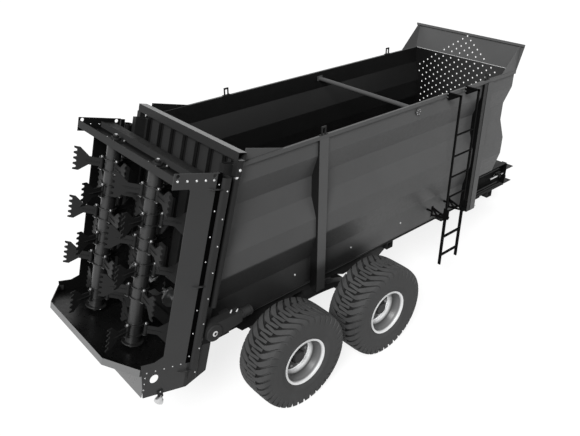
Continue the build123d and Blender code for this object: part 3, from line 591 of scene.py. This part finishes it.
def turning_tree():
    inputs = [("Shape", "Object"), ("Count", "Int"), ("Centre", "Vector"), ("Finish", "Material")]
    tree, board, given = start_tree("turned_about_axle", inputs)
    points = board.add("GeometryNodePoints", {}, {"Count": given["Count"], "Position": given["Centre"]})
    step = board.add("ShaderNodeMath", {"operation": "DIVIDE"}, {0: 2 * pi, 1: given["Count"]})
    index = board.add("GeometryNodeInputIndex")
    turn = board.add("ShaderNodeCombineXYZ", {}, {"X": 0.0, "Y": index * step, "Z": 0.0})
    copies = {"Points": points, "Instance": shape_of(board, given), "Rotation": turn}
    placed = board.add("GeometryNodeInstanceOnPoints", {}, copies)
    joined = board.add("GeometryNodeJoinGeometry", {}, {"Geometry": given["Geometry"]})
    board.tree.links.new(placed.socket, joined.node.inputs["Geometry"])
    end_tree(board, given, joined)
    return tree


FACING = facing_tree()
TURNING = turning_tree()
print("trees:", FACING.name, TURNING.name)


# %% Run a tree and keep the plain mesh
def link(name, mesh):
    thing = bpy.data.objects.new(name, mesh)
    scene.collection.objects.link(thing)
    return thing


def repeat(thing, tree, values):
    """Run a tree on an object and keep the result as its plain mesh."""
    modifier = thing.modifiers.new("repeat", "NODES")
    modifier.node_group = tree
    sockets = {item.name: item.identifier for item in tree.interface.items_tree if item.in_out == "INPUT"}
    for label, value in values.items():
        modifier[sockets[label]] = value
    bpy.context.view_layer.update()
    seen_by = bpy.context.evaluated_depsgraph_get()
    plain = bpy.data.meshes.new_from_object(thing.evaluated_get(seen_by))
    thing.modifiers.remove(modifier)
    thing.data = plain


print("a repeat ends as a plain mesh")


# %% New mesh, faces outward, smooth shading
def new_mesh(name, points, faces):
    mesh = bpy.data.meshes.new(name)
    mesh.from_pydata(points, [], faces)
    return mesh


def outward(mesh, chamfer=0.0):
    """Faces turned to look outwards, and edges cut off where a width is given."""
    shell = bmesh.new()
    shell.from_mesh(mesh)
    bmesh.ops.recalc_face_normals(shell, faces=shell.faces)
    if chamfer:
        cut = {"offset": chamfer, "segments": 1, "affect": "EDGES", "clamp_overlap": True}
        bmesh.ops.bevel(shell, geom=shell.edges, **cut)
    shell.to_mesh(mesh)
    shell.free()


def smooth(mesh):
    """Round faces shaded smooth, edges sharper than 32 degrees kept."""
    mesh.polygons.foreach_set("use_smooth", [True] * len(mesh.polygons))
    mesh.set_sharp_from_angle(angle=radians(32))


print("mesh helpers:", [helper.__name__ for helper in (new_mesh, outward, smooth)])

# %% [markdown]
# ## Tyres
# The real tyres are wide flotation tyres: a rounded casing with bars that run from the middle outwards,
# bend to the shoulder and fade down the side. The bars of the two sides stand half a step apart and
# interlock in the middle. A turned profile gives the casing, and one swept pair of bars gives all the
# others. They take the place of the solid's plain chevrons.

# %% Profile of the casing and path of a bar
HALF_CASING = [
    # across from the middle, radius
    (0.0, 0.6020),
    (0.095, 0.6012),
    (0.165, 0.5985),
    (0.205, 0.5850),
    (0.230, 0.568),
    (0.2435, 0.546),
    (0.2505, 0.515),
    (0.2535, 0.470),
    (0.2525, 0.430),
    (0.2455, 0.390),
    (0.2475, 0.384),
    (0.2440, 0.366),
    (0.2340, 0.345),
    (0.2270, 0.322),
    (0.2240, 0.3035),
    (0.2000, 0.3035),
    (0.2080, 0.420),
    (0.1900, 0.520),
    (0.1200, 0.572),
]
CASING = HALF_CASING + [(-a, r) for a, r in reversed(HALF_CASING[1:])]
BAR_PATH = [
    # top: across, radius; foot: across, radius; shift around the tyre; half width
    (-0.075, 0.6236, -0.075, 0.594, -0.085, 0.0160),
    (0.068, 0.6238, 0.068, 0.594, -0.096, 0.0175),
    (0.125, 0.6226, 0.125, 0.592, -0.074, 0.0340),
    (0.165, 0.6200, 0.162, 0.586, -0.046, 0.0370),
    (0.205, 0.6135, 0.198, 0.576, -0.012, 0.0370),
    (0.236, 0.6030, 0.222, 0.560, 0.020, 0.0360),
    (0.2525, 0.5750, 0.234, 0.545, 0.035, 0.0345),
    (0.2545, 0.5300, 0.242, 0.515, 0.040, 0.0320),
    (0.2535, 0.4850, 0.246, 0.484, 0.042, 0.0290),
]
STEPS = 38  # pairs of bars on a tyre
CASING_STEPS = 3 * STEPS
print("casing:", len(CASING), "points, bar:", len(BAR_PATH), "points,", STEPS, "pairs a tyre")


# %% Turned casing and one pair of bars
def turned(name, profile, centre, steps):
    """A closed profile turned about the Y axis at a centre."""
    x, y, z = centre
    turns = [2 * pi * i / steps for i in range(steps)]
    points = [(x + r * sin(turn), y + across, z + r * cos(turn)) for turn in turns for across, r in profile]
    n = len(profile)
    faces = []
    for i in range(steps):
        this, following = i * n, (i + 1) % steps * n
        for j in range(n):
            k = (j + 1) % n
            faces.append((this + j, this + k, following + k, following + j))
    return new_mesh(name, points, faces)


def bar_pair(name):
    """The two half bars of one step, about an axle at the origin."""
    tread, spread = 0.62, 0.004  # radius that widths are measured on, and how much wider the foot is
    points, faces = [], []
    for side, shift in ((1, 0.0), (-1, pi / STEPS)):
        first = len(points)
        for top_across, top, foot_across, foot, around, half in BAR_PATH:
            wide = half + spread
            section = [(foot_across, foot, -wide), (top_across, top, -half)]
            section += [(top_across, top, half), (foot_across, foot, wide)]
            for across, radius, to_side in section:
                turn = shift + (around + to_side) / tread
                points.append((radius * sin(turn), side * across, radius * cos(turn)))
        for i in range(len(BAR_PATH) - 1):
            for j in range(4):
                a, b = first + i * 4 + j, first + i * 4 + (j + 1) % 4
                faces.append((a, b, b + 4, a + 4))
        last = first + 4 * (len(BAR_PATH) - 1)
        faces += [(first + 3, first + 2, first + 1, first), (last, last + 1, last + 2, last + 3)]
    return new_mesh(name, points, faces)


bar_shape = link("bar_shape", bar_pair("bar_shape"))
print("one pair of bars:", len(bar_shape.data.polygons), "faces")

# %% Four tyres
for axle, x in WHEEL_X.items():
    for side, y in (("right", -TYRE_Y), ("left", TYRE_Y)):
        centre = (x, y, AXLE_Z)
        casing = link(f"tyre_detail_{axle}_{side}", turned("casing", CASING, centre, CASING_STEPS))
        values = {"Shape": bar_shape, "Count": STEPS, "Centre": centre, "Finish": TYRE[axle]}
        repeat(casing, TURNING, values)
        outward(casing.data)
        smooth(casing.data)
        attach(casing, f"wheel_{axle}_{side}")
        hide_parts(f"tyre_{axle}_{side}")
        print(casing.name, len(casing.data.polygons), "faces")
bpy.data.objects.remove(bar_shape)

# %% [markdown]
# ## Bolts and nuts
# A bolt head is a washer with a six-sided head on it. A round stud would be simpler, but six flat sides
# catch the light as a real head does. Each row of places says where a head sits and which way it faces.
# They are gathered by body, so that the heads on a rotor turn with it.


# %% One bolt head
def prism(points, faces, sides, radius, low, high, chamfer):
    """An upright prism with its upper edge cut off."""
    first = len(points)
    for z, r in ((low, radius), (high - chamfer, radius), (high, radius - chamfer)):
        points += [(r * cos(2 * pi * i / sides), r * sin(2 * pi * i / sides), z) for i in range(sides)]
    for start in (first, first + sides):
        for i in range(sides):
            a, b = start + i, start + (i + 1) % sides
            faces.append((a, b, b + sides, a + sides))
    faces.append(tuple(first + i for i in reversed(range(sides))))
    faces.append(tuple(first + 2 * sides + i for i in range(sides)))


def bolt_head(name):
    """Washer and head, with a washer of radius 1."""
    points, faces = [], []
    prism(points, faces, 12, 1.0, -0.05, 0.16, 0.04)
    prism(points, faces, 6, 0.80, 0.16, 0.78, 0.12)
    return new_mesh(name, points, faces)


def bolts(name, body, places, size):
    """Heads on a list of (point, direction), as one mesh that rides on a body."""
    mesh = new_mesh(name, [tuple(point) for point, _ in places], [])
    out = mesh.attributes.new("out", "FLOAT_VECTOR", "POINT")
    for i, (_, direction) in enumerate(places):
        out.data[i].vector = direction
    thing = link(name, mesh)
    repeat(thing, FACING, {"Shape": head, "Size": size, "Finish": ZINC})
    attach(thing, body)
    print(name, "on", body, len(places), "heads")


head = link("bolt_head", bolt_head("bolt_head"))
print("bolt head:", len(head.data.polygons), "faces")

# %% Bolts on the rear unit
SIDES = (-1, 1)  # right, left
PLATE_Y = 0.974  # outer face of a side plate
frame_places = []
small_places = []
for side in SIDES:
    outer = LEFT * side
    for forwards in (-0.124, -0.019, 0.084, 0.186, 0.281):
        frame_places.append((leaning(forwards, 0.014, side * PLATE_Y), outer))
    for i in range(8):
        small_places.append((leaning(0.347, 0.06 + i * 0.27, side * 0.9765), outer))
        small_places.append((leaning(0.438, 0.12 + i * 0.29, side * 1.005), outer))
    for a in (-1, 1):
        for b in (-1, 1):
            frame_places.append((leaning(a * 0.066, 0.029, side * ROTOR_Y + b * 0.066), UP))
    for forwards in (-0.14, -0.04, 0.06, 0.16, 0.26):
        small_places.append((leaning(forwards, 2.025, side * PLATE_Y), outer))
    for forwards in (-0.019, 0.084, 0.186):
        small_places.append((leaning(forwards, 0.014, side * 0.966), -outer))
    for down in (2.08, 2.15, 2.22):
        small_places.append((leaning(-0.15, down, side * PLATE_Y), outer))
bolts("frame_bolts", "frame", frame_places, 0.0125)
bolts("frame_small_bolts", "frame", small_places, 0.008)

# %% Bolts on rotors and wheels
# how far down the rotor, and where round it in degrees
PADDLE_LEVELS = ((0.310, 20), (0.585, 80), (0.860, 20), (1.132, 80), (1.405, 20), (1.830, 80))
PADDLE_BOLT_RADIUS, FLANGE = 0.117, 0.067
NUTS, NUT_RADIUS, NUT_Y = 10, 0.1675, 1.1865

for side, y in (("right", -ROTOR_Y), ("left", ROTOR_Y)):
    places = []
    for depth, first in PADDLE_LEVELS:
        for third in range(3):
            turn = radians(first + 120 * third)
            forwards, across = PADDLE_BOLT_RADIUS * cos(turn), PADDLE_BOLT_RADIUS * sin(turn)
            for offset, out in ((-FLANGE, UP), (FLANGE, DOWN)):
                places.append((leaning(forwards, depth + offset, y + across), out))
    bolts(f"paddle_bolts_{side}", f"rotor_{side}", places, 0.016)

for axle, x in WHEEL_X.items():
    for side, way in (("right", -1), ("left", 1)):
        turns = [2 * pi * i / NUTS for i in range(NUTS)]
        ring = [(x + NUT_RADIUS * cos(turn), way * NUT_Y, AXLE_Z + NUT_RADIUS * sin(turn)) for turn in turns]
        places = [(Vector(point), LEFT * way) for point in ring]
        bolts(f"wheel_nuts_{axle}_{side}", f"wheel_{axle}_{side}", places, 0.015)
bpy.data.objects.remove(head)

# %% [markdown]
# ## Small pieces
# Brackets, strips, caps and pipes are few and all different, so each is built straight from its corners
# or from a short profile. A small class gathers them into one mesh: a block from eight corners, a bar
# between two points, and a turned piece on any axis.


# %% Blocks, bars and turned pieces
def cross(first, second):
    """Four corners round a rectangle from two pairs of ends."""
    (a, b), (c, d) = first, second
    return (a, c), (b, c), (b, d), (a, d)


class Pile:
    """Gathers simple solids into one mesh."""

    def __init__(self):
        self.points = []
        self.faces = []

    def block(self, corners):
        """Eight corners: four round one end, then the matching four round the other."""
        n = len(self.points)
        self.points += [tuple(c) for c in corners]
        for quad in ((3, 2, 1, 0), (4, 5, 6, 7), (0, 1, 5, 4), (1, 2, 6, 5), (2, 3, 7, 6), (3, 0, 4, 7)):
            self.faces.append(tuple(n + i for i in quad))

    def box(self, x, y, z):
        self.block([(a, b, c) for c in z for a, b in cross(x, y)])

    def leaning_box(self, forwards, down, y):
        self.block([leaning(a, c, b) for c in down for a, b in cross(forwards, y)])

    def bar(self, start, end, thick):
        """A square bar between two points."""
        start, end = Vector(start), Vector(end)
        along = (end - start).normalized()
        side = along.cross(Vector((0, 0, 1))).normalized()
        top = side.cross(along)
        half = thick / 2
        ring = [side * a + top * b for a, b in cross((-half, half), (-half, half))]
        self.block([start + r for r in ring] + [end + r for r in ring])

    def lathe(self, profile, origin, axis, steps):
        """Profile of (radius, height) turned about an axis; both ends are closed on it."""
        turned_to = Vector(axis).to_track_quat("Z", "Y").to_matrix()
        n = len(self.points)
        turns = [2 * pi * i / steps for i in range(steps)]
        for radius, height in profile:
            for turn in turns:
                local = Vector((radius * cos(turn), radius * sin(turn), height))
                self.points.append(tuple(Vector(origin) + turned_to @ local))
        last = n + (len(profile) - 1) * steps
        for start in range(n, last, steps):
            for i in range(steps):
                a, b = start + i, start + (i + 1) % steps
                self.faces.append((a, b, b + steps, a + steps))
        self.faces.append(tuple(n + i for i in reversed(range(steps))))
        self.faces.append(tuple(last + i for i in range(steps)))

    def tube(self, start, end, radius, steps=12):
        reach = Vector(end) - Vector(start)
        self.lathe([(radius, 0.0), (radius, reach.length)], start, reach, steps)

    def make(self, name, body, finish, chamfer=0.0):
        mesh = new_mesh(name, self.points, self.faces)
        outward(mesh, chamfer)
        mesh.materials.append(finish)
        thing = link(name, mesh)
        smooth(mesh)
        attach(thing, body)
        print(name, "on", body, len(mesh.polygons), "faces")
        return thing


print("a pile can:", [name for name in vars(Pile) if not name.startswith("_")])

# %% [markdown]
# ## Edge strips and bearing caps
# A black strip along the front edge of each side plate is painted shade: a dark block in the recessed joint
# there, and a thin black sheet over it that reaches a little onto the plate's face. Each rotor ends at the
# top in a bearing, whose round cap and nut show on the bearing plate. They are thin, so a few flat boxes
# and two short profiles are enough.


# %% Strips, caps and nuts
def outwards(side, near, far):
    """Two distances from the middle, as low and high Y on one side."""
    return sorted((side * near, side * far))


strips, caps, nuts = Pile(), Pile(), Pile()
for side in SIDES:
    # Painted shade: the black block and sheet stand for the dark recessed joint.
    strips.leaning_box((0.3365, 0.3735), (-0.052, 2.030), outwards(side, 0.9462, 0.9745))
    strips.leaning_box((0.318, 0.3735), (-0.050, 2.028), outwards(side, 0.9742, 0.9765))
    cap = [(0.031, 0.0), (0.031, 0.015), (0.027, 0.0205), (0.010, 0.0225)]
    caps.lathe(cap, leaning(0, 0.003, side * ROTOR_Y), UP, 20)
    nuts.lathe([(0.017, 0.0), (0.017, 0.009), (0.013, 0.012)], leaning(0, -0.018, side * ROTOR_Y), UP, 6)
strips.make("edge_strips", "frame", SHADE_BLACK)
caps.make("bearing_caps", "frame", FRAME)
nuts.make("bearing_nuts", "frame", ZINC)

# %% [markdown]
# ## The door's rod brackets
# Each end of the beam carries a folded bracket that takes the eye of a lift rod on a pin, so the rod
# pushes the whole door up. Boxes as thin as the sheet make it, and it rides on the door's body.

# %% Rod brackets and their pins
SHEET = 0.003  # half the thickness of the folded sheet
brackets, pins = Pile(), Pile()
for side in SIDES:
    for cheek in (side * 0.903, side * 0.963):
        brackets.leaning_box((0.541, 0.606), (-0.162, -0.004), (cheek - SHEET, cheek + SHEET))
    brackets.leaning_box((0.535, 0.541), (-0.162, -0.004), (side * 0.933 - 0.033, side * 0.933 + 0.033))
    pin = [(0.016, 0.0), (0.016, 0.010), (0.013, 0.013)]
    pins.lathe(pin, leaning(0.575, -0.075, side * 0.966), LEFT * side, 14)
brackets.make("rod_brackets", "door", FRAME, 0.001)
pins.make("rod_pins", "door", ZINC)

# %% [markdown]
# ## Ladder
# The fixed half of the ladder is two flat rails with square rungs. Its rails reach the hopper's rim, where
# a bracket turns in to the top tube, and its foot is stayed from the wall by small triangles that also
# hold the hinge of the folding half. The plain solid's rails end lower, so the whole fixed half is redrawn
# and takes its place.

# %% Rails, rungs and rim brackets
LADDER_X = (station(3.347), station(3.729))  # rear and front rail
RAIL_TOP, RAIL_FOOT = 3.125, 1.440
RUNGS, FIRST_RUNG, RUNG_STEP = 4, 1.690, 0.300
HOOK_Y, RIM_Y = -1.08, -0.906  # rail's inner face, hopper's rim


def across_rail(x, half):
    """Low and high X of a piece centred on a rail."""
    return x - half, x + half


ladder = Pile()
for x in LADDER_X:
    ladder.box(across_rail(x, 0.011), (-1.113, -1.087), (RAIL_FOOT, RAIL_TOP))
    ladder.box(across_rail(x, 0.011), (-1.113, -0.905), (3.102, RAIL_TOP))
    gusset = across_rail(x, 0.004)
    upper_end = [(a, b, 3.10) for a, b in cross(gusset, (HOOK_Y, RIM_Y))]
    lower_end = [(a, b, 3.015) for a, b in cross(gusset, (-0.93, RIM_Y))]
    ladder.block(upper_end + lower_end)
    ladder.box(across_rail(x, 0.022), (-0.911, -0.905), (3.040, 3.127))
for i in range(RUNGS):
    z = FIRST_RUNG + i * RUNG_STEP
    ladder.box((LADDER_X[0] + 0.010, LADDER_X[1] - 0.010), (-1.112, -1.088), (z - 0.008, z + 0.008))
print("rails to", RAIL_TOP, "with", RUNGS, "rungs")

# %% Hinge cheeks and wall stays
STAYS = [
    # y and z of both ends
    ((-0.87, 1.45), (-1.09, 1.39)),
    ((-0.87, 1.33), (-1.09, 1.37)),
    ((-0.87, 1.45), (-0.96, 1.36)),
    ((-0.74, 1.39), (-0.87, 1.39)),
    ((-1.03, 1.41), (-0.96, 1.35)),
]
for x, inward in zip(LADDER_X, (1, -1)):
    ladder.box(across_rail(x - inward * 0.017, 0.004), (-1.165, -1.075), (1.375, 1.525))
    ladder.lathe([(0.008, 0.0), (0.008, 0.034)], (x - inward * 0.021, -1.140, 1.400), AHEAD * inward, 12)
    for high, low in STAYS:
        ladder.bar((x, *high), (x, *low), 0.022)
    ladder.box(across_rail(x, 0.02), (-0.880, -0.868), (1.31, 1.47))
upper = ladder.make("ladder_fixed_half", "frame", LADDER, 0.0015)
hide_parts("ladder_upper")

# %% [markdown]
# ## Floor drive
# The floor is pulled by shafts at both ends. The rear one is turned by a gearbox with an oil motor. Its
# round cover, the bright ring round the shaft's bore, the motor's flanges and two oil ports show at the
# corner. All are turned parts, so each is one short profile on its own axis.

# %% Gearbox cover, motor flanges and bright fittings
DRIVE = Vector((station(-0.455), 0.0, 1.330))  # the rear shaft, in the middle plane
GEARBOX_FACE = DRIVE - LEFT * 1.0135
MOTOR = DRIVE - LEFT * 0.945 + Vector((0.400, 0, 0.028))

gearbox = Pile()
gearbox.lathe([(0.101, 0.0), (0.101, 0.012), (0.092, 0.020), (0.062, 0.020)], DRIVE - LEFT * 0.993, -LEFT, 32)
gearbox.lathe([(0.050, 0.0), (0.050, 0.03), (0.045, 0.035)], MOTOR + AHEAD * 0.065, AHEAD, 24)
gearbox.lathe([(0.060, 0.0), (0.060, 0.014)], MOTOR, AHEAD, 24)
gearbox.lathe([(0.058, 0.0), (0.058, 0.012)], MOTOR + AHEAD * 0.100, AHEAD, 24)
gearbox.make("gearbox_cover", "frame", CAST)

fittings = Pile()
RING = [(0.033, 0.0), (0.033, 0.007), (0.029, 0.009), (0.018, 0.009), (0.016, 0.004), (0.002, 0.004)]
PORT = [(0.011, 0.0), (0.011, 0.022), (0.008, 0.025), (0.008, 0.040)]
fittings.lathe(RING, GEARBOX_FACE, -LEFT, 24)
for dx, dz in ((0.250, 0.110), (0.330, 0.085)):
    fittings.lathe(PORT, DRIVE + Vector((dx, -0.950, dz)), (0.5, 0, 0.8), 12)

# %% [markdown]
# ## Front end
# The front shaft sits in blocks that two bright threaded rods draw forwards to tighten the chains. Beside
# the right one three pipes run in the channel. Rods and pipes are plain tubes between two points.

# %% Tensioner rods, drive bore and pipes
ROD_Y, ROD_Z = 0.745, 1.330
for side in SIDES:
    rear_end, front_end = [(station(x), side * ROD_Y, ROD_Z) for x in (4.962, 5.328)]
    fittings.tube(rear_end, front_end, 0.0138)
    fittings.lathe([(0.024, 0.0), (0.024, 0.020)], (station(5.352), side * ROD_Y, ROD_Z), AHEAD, 6)
fittings.make("bright_fittings", "frame", ZINC)

bore = Pile()
# Painted shade: a black disc stands for the dark bore.
bore.lathe([(0.017, 0.0), (0.017, 0.0065)], GEARBOX_FACE, -LEFT, 16)
bore.make("drive_bore", "frame", SHADE_BLACK)

pipes = Pile()
for z in (1.470, 1.235, 1.190):
    pipes.tube((station(4.20), -0.752, z), (station(5.16), -0.752, z), 0.011, 10)
pipes.make("channel_pipes", "frame", FRAME)

# %% [markdown]
# ## Under the floor
# Deep plates hang the springs from the rails, and a belly sheet keeps what falls through the floor off the
# drive line. Both are dark and close the view under the hopper. A plate of free outline is easiest as one
# polygon, copied through the plate's thickness and joined by a band of faces.

# %% Spring plates and belly sheet
# station and z round the outline of a spring plate
HANGER = [(-0.12, 1.139), (2.75, 1.139), (2.45, 0.96), (1.75, 0.96)]
HANGER += [(1.60, 1.03), (0.90, 1.03), (0.72, 0.90), (0.10, 0.90)]
HANGER_Y = (0.712, 0.724)
under = Pile()
n = len(HANGER)
for side in SIDES:
    first = len(under.points)
    under.points += [(station(x), side * y, z) for y in HANGER_Y for x, z in HANGER]
    under.faces.append(tuple(first + i for i in range(n)))
    under.faces.append(tuple(first + n + i for i in reversed(range(n))))
    for i in range(n):
        j = (i + 1) % n
        under.faces.append((first + i, first + j, first + n + j, first + n + i))
under.box((station(-0.10), station(0.75)), (-0.690, 0.690), (1.142, 1.147))
print("each spring plate has", n, "corners")

# %% Side strips and lip at the apron
LIP_X, LIP_Y = (-3.210, -3.085), (-0.765, 0.765)
for side in SIDES:
    under.box((station(-0.60), station(-0.12)), outwards(side, 0.770, 0.776), (1.020, 1.165))
lip_ends = []
for rear_z, front_z in ((1.044, 1.068), (1.050, 1.073)):
    lip_ends += [(x, y, rear_z if x == LIP_X[0] else front_z) for x, y in cross(LIP_X, LIP_Y)]
under.block(lip_ends)
under.make("spring_plates", "frame", FRAME)

# %% [markdown]
# ## Lamps
# Each rear lamp is a round clear cup in a black holder that two bolts fix to the tray's side. The cup is
# a turned profile that looks down and outwards. It replaces the plain solid, because a lamp is one of the
# few things here that shines.

# %% Lamp holders and cups
CUP = [(0.042, 0.0), (0.050, 0.030), (0.048, 0.045), (0.030, 0.056), (0.010, 0.060)]
LAMP_Y = 0.970
holder, cup = Pile(), Pile()
for side in SIDES:
    holder.box((station(-1.180), station(-1.120)), outwards(side, 0.974, 0.986), (0.850, 0.950))
    holder.box((station(-1.165), station(-1.135)), outwards(side, 0.950, 0.986), (0.835, 0.856))
    socket = [(0.036, 0.0), (0.036, 0.022), (0.030, 0.024)]
    holder.lathe(socket, (station(-1.140), side * LAMP_Y, 0.838), -AHEAD, 24)
    cup.lathe(CUP, (station(-1.155), side * LAMP_Y, 0.830), (-0.8, side * 0.5, -0.3), 24)
    for z in (0.870, 0.930):
        cup.lathe([(0.008, 0.0), (0.008, 0.005)], (station(-1.150), side * 0.986, z), LEFT * side, 6)
cups = cup.make("lamp_cups", "frame", ZINC)
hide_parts("rear_lamps")
holder.make("lamp_holders", "frame", FRAME)

# %% [markdown]
# ## Tie bar
# A tube holds the two walls together above the load. In the photograph it crosses the hopper two thirds of
# the way from the rear, further back than the plain solid has it, so it is drawn anew at its own place:
# one turned tube with a flat foot at each wall.

# %% Tube with its feet
TIE_BAR = Vector((station(2.780), 0.0, 3.008))
TIE_HALF = 0.865
tie = Pile()
for side in SIDES:
    tie.box((TIE_BAR.x - 0.045, TIE_BAR.x + 0.045), outwards(side, 0.864, 0.873), (2.981, 3.048))
tie.lathe([(0.028, 0.0), (0.028, 2 * TIE_HALF)], TIE_BAR - LEFT * TIE_HALF, LEFT, 24)
tube = tie.make("tie_bar_tube", "frame", BODY)
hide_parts("tie_bar")

# %% [markdown]
# ## On the walls
# A round bolted cover closes the end of the tie bar, and single bolts mark where the inner braces end.
# Thin flanges stand beside the front posts, and a pressed bead stiffens each wall's lower edge. These
# are all a few millimetres thick, so they lie on the wall as flat boxes and short turned pieces.

# %% Covers, wall bolts, flanges and beads
COVER_X, COVER_Z, COVER_BOLTS, COVER_BOLT_RADIUS = station(2.786), 2.985, 6, 0.033
WALL_BOLT = [(0.013, -0.004), (0.013, 0.008), (0.010, 0.011)]
WALL_BOLTS = ((1.814, 0.785, 1.374), (0.858, 0.785, 1.378), (2.773, 0.785, 1.378))  # station, y, z
on_walls, wall_bolts = Pile(), Pile()
for side in SIDES:
    cover = [(0.044, -0.001), (0.044, 0.006), (0.040, 0.009)]
    on_walls.lathe(cover, (COVER_X, side * 0.889, COVER_Z), LEFT * side, 24)
    for i in range(COVER_BOLTS):
        turn = 2 * pi * i / COVER_BOLTS
        dx, dz = COVER_BOLT_RADIUS * cos(turn), COVER_BOLT_RADIUS * sin(turn)
        spot = (COVER_X + dx, side * 0.897, COVER_Z + dz)
        wall_bolts.lathe([(0.005, 0.0), (0.005, 0.004)], spot, LEFT * side, 6)
    for x, y, z in WALL_BOLTS:
        wall_bolts.lathe(WALL_BOLT, (station(x), side * y, z), LEFT * side, 10)
    on_walls.box((station(4.228), station(4.345)), outwards(side, 0.912, 0.919), (1.110, 3.060))
    on_walls.box((station(0.05), station(4.14)), outwards(side, 0.784, 0.7885), (1.181, 1.186))
for x in LADDER_X:
    for z in (3.060, 3.105):
        wall_bolts.lathe([(0.009, 0.0), (0.009, 0.007)], (x - 0.014, -0.911, z), -LEFT, 6)
on_walls.make("tie_bar_covers", "frame", POST)
wall_bolts.make("wall_bolts", "frame", ZINC)

# %% [markdown]
# ## Studio floor and sky
# A wide pale floor and an even sky stand for the white sweep of a product photograph. A lit floor is never
# quite white, so the white that the camera sees is a glow. It goes only to camera rays and to those that
# come by glass or a mirror, which leaves the light on the machine plain.


# %% Floor and sky
def seen_by_camera(board):
    """The sum of the ray kinds that carry a picture."""
    rays = board.add("ShaderNodeLightPath", {}, {}, out="Is Camera Ray").node.outputs
    kinds = ("Camera", "Glossy", "Transmission")
    straight, mirrored, passed = [Wire(board, rays[f"Is {kind} Ray"]) for kind in kinds]
    return straight + mirrored + passed


WHITE = (1, 1, 1, 1)
FLOOR_HALF = 90
corners = [(x, y, 0) for x, y in cross((-FLOOR_HALF, FLOOR_HALF), (-FLOOR_HALF, FLOOR_HALF))]
studio_floor = link("studio_floor", new_mesh("studio_floor", corners, [(0, 1, 2, 3)]))
floor_finish = bpy.data.materials.new("studio_floor")
floor_finish.use_nodes = True
floor = Board(floor_finish.node_tree)
floor.tree.nodes.remove(floor.tree.nodes["Principled BSDF"])
pale = floor.add("ShaderNodeBsdfDiffuse", {}, {"Color": (0.22, 0.22, 0.22, 1)})
glow = floor.add("ShaderNodeEmission", {}, {"Color": WHITE, "Strength": seen_by_camera(floor) * 0.80})
both = floor.add("ShaderNodeAddShader", {}, {0: pale, 1: glow})
floor.plug(floor.tree.nodes["Material Output"].inputs["Surface"], both)
studio_floor.data.materials.append(floor_finish)
studio_floor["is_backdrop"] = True

scene.world = bpy.data.worlds.new("studio_sky")
scene.world.use_nodes = True
sky = Board(scene.world.node_tree)
background = sky.tree.nodes["Background"]
sky.plug(background.inputs["Strength"], seen_by_camera(sky) * 0.60 + 0.40)
sky.plug(background.inputs["Color"], WHITE)
print("floor of", 2 * FLOOR_HALF, "metres and an even sky")

# %% [markdown]
# ## Lamp
# One broad lamp stands behind the camera's left shoulder, high above the machine. A sun lamp gives the
# same light everywhere, and its wide angle makes the soft shadows of a studio.

# %% Soft sun
TOWARDS_LAMP = Vector((-0.62, -0.45, 0.64))
sun = bpy.data.lights.new("soft_sun", "SUN")
sun.energy = 4.0
sun.angle = radians(24)
lamp = bpy.data.objects.new("soft_sun", sun)
lamp.rotation_mode = "QUATERNION"
lamp.rotation_quaternion = TOWARDS_LAMP.to_track_quat("Z", "Y")
scene.collection.objects.link(lamp)
print("lamp from", tuple(round(v, 2) for v in TOWARDS_LAMP))

# %% [markdown]
# ## Measure and finish
# The size of the box round the dressed machine is printed.

# %% Measure and finish
low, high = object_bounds()
print("dressed size:", [round(h - l, 3) for l, h in zip(low, high)])
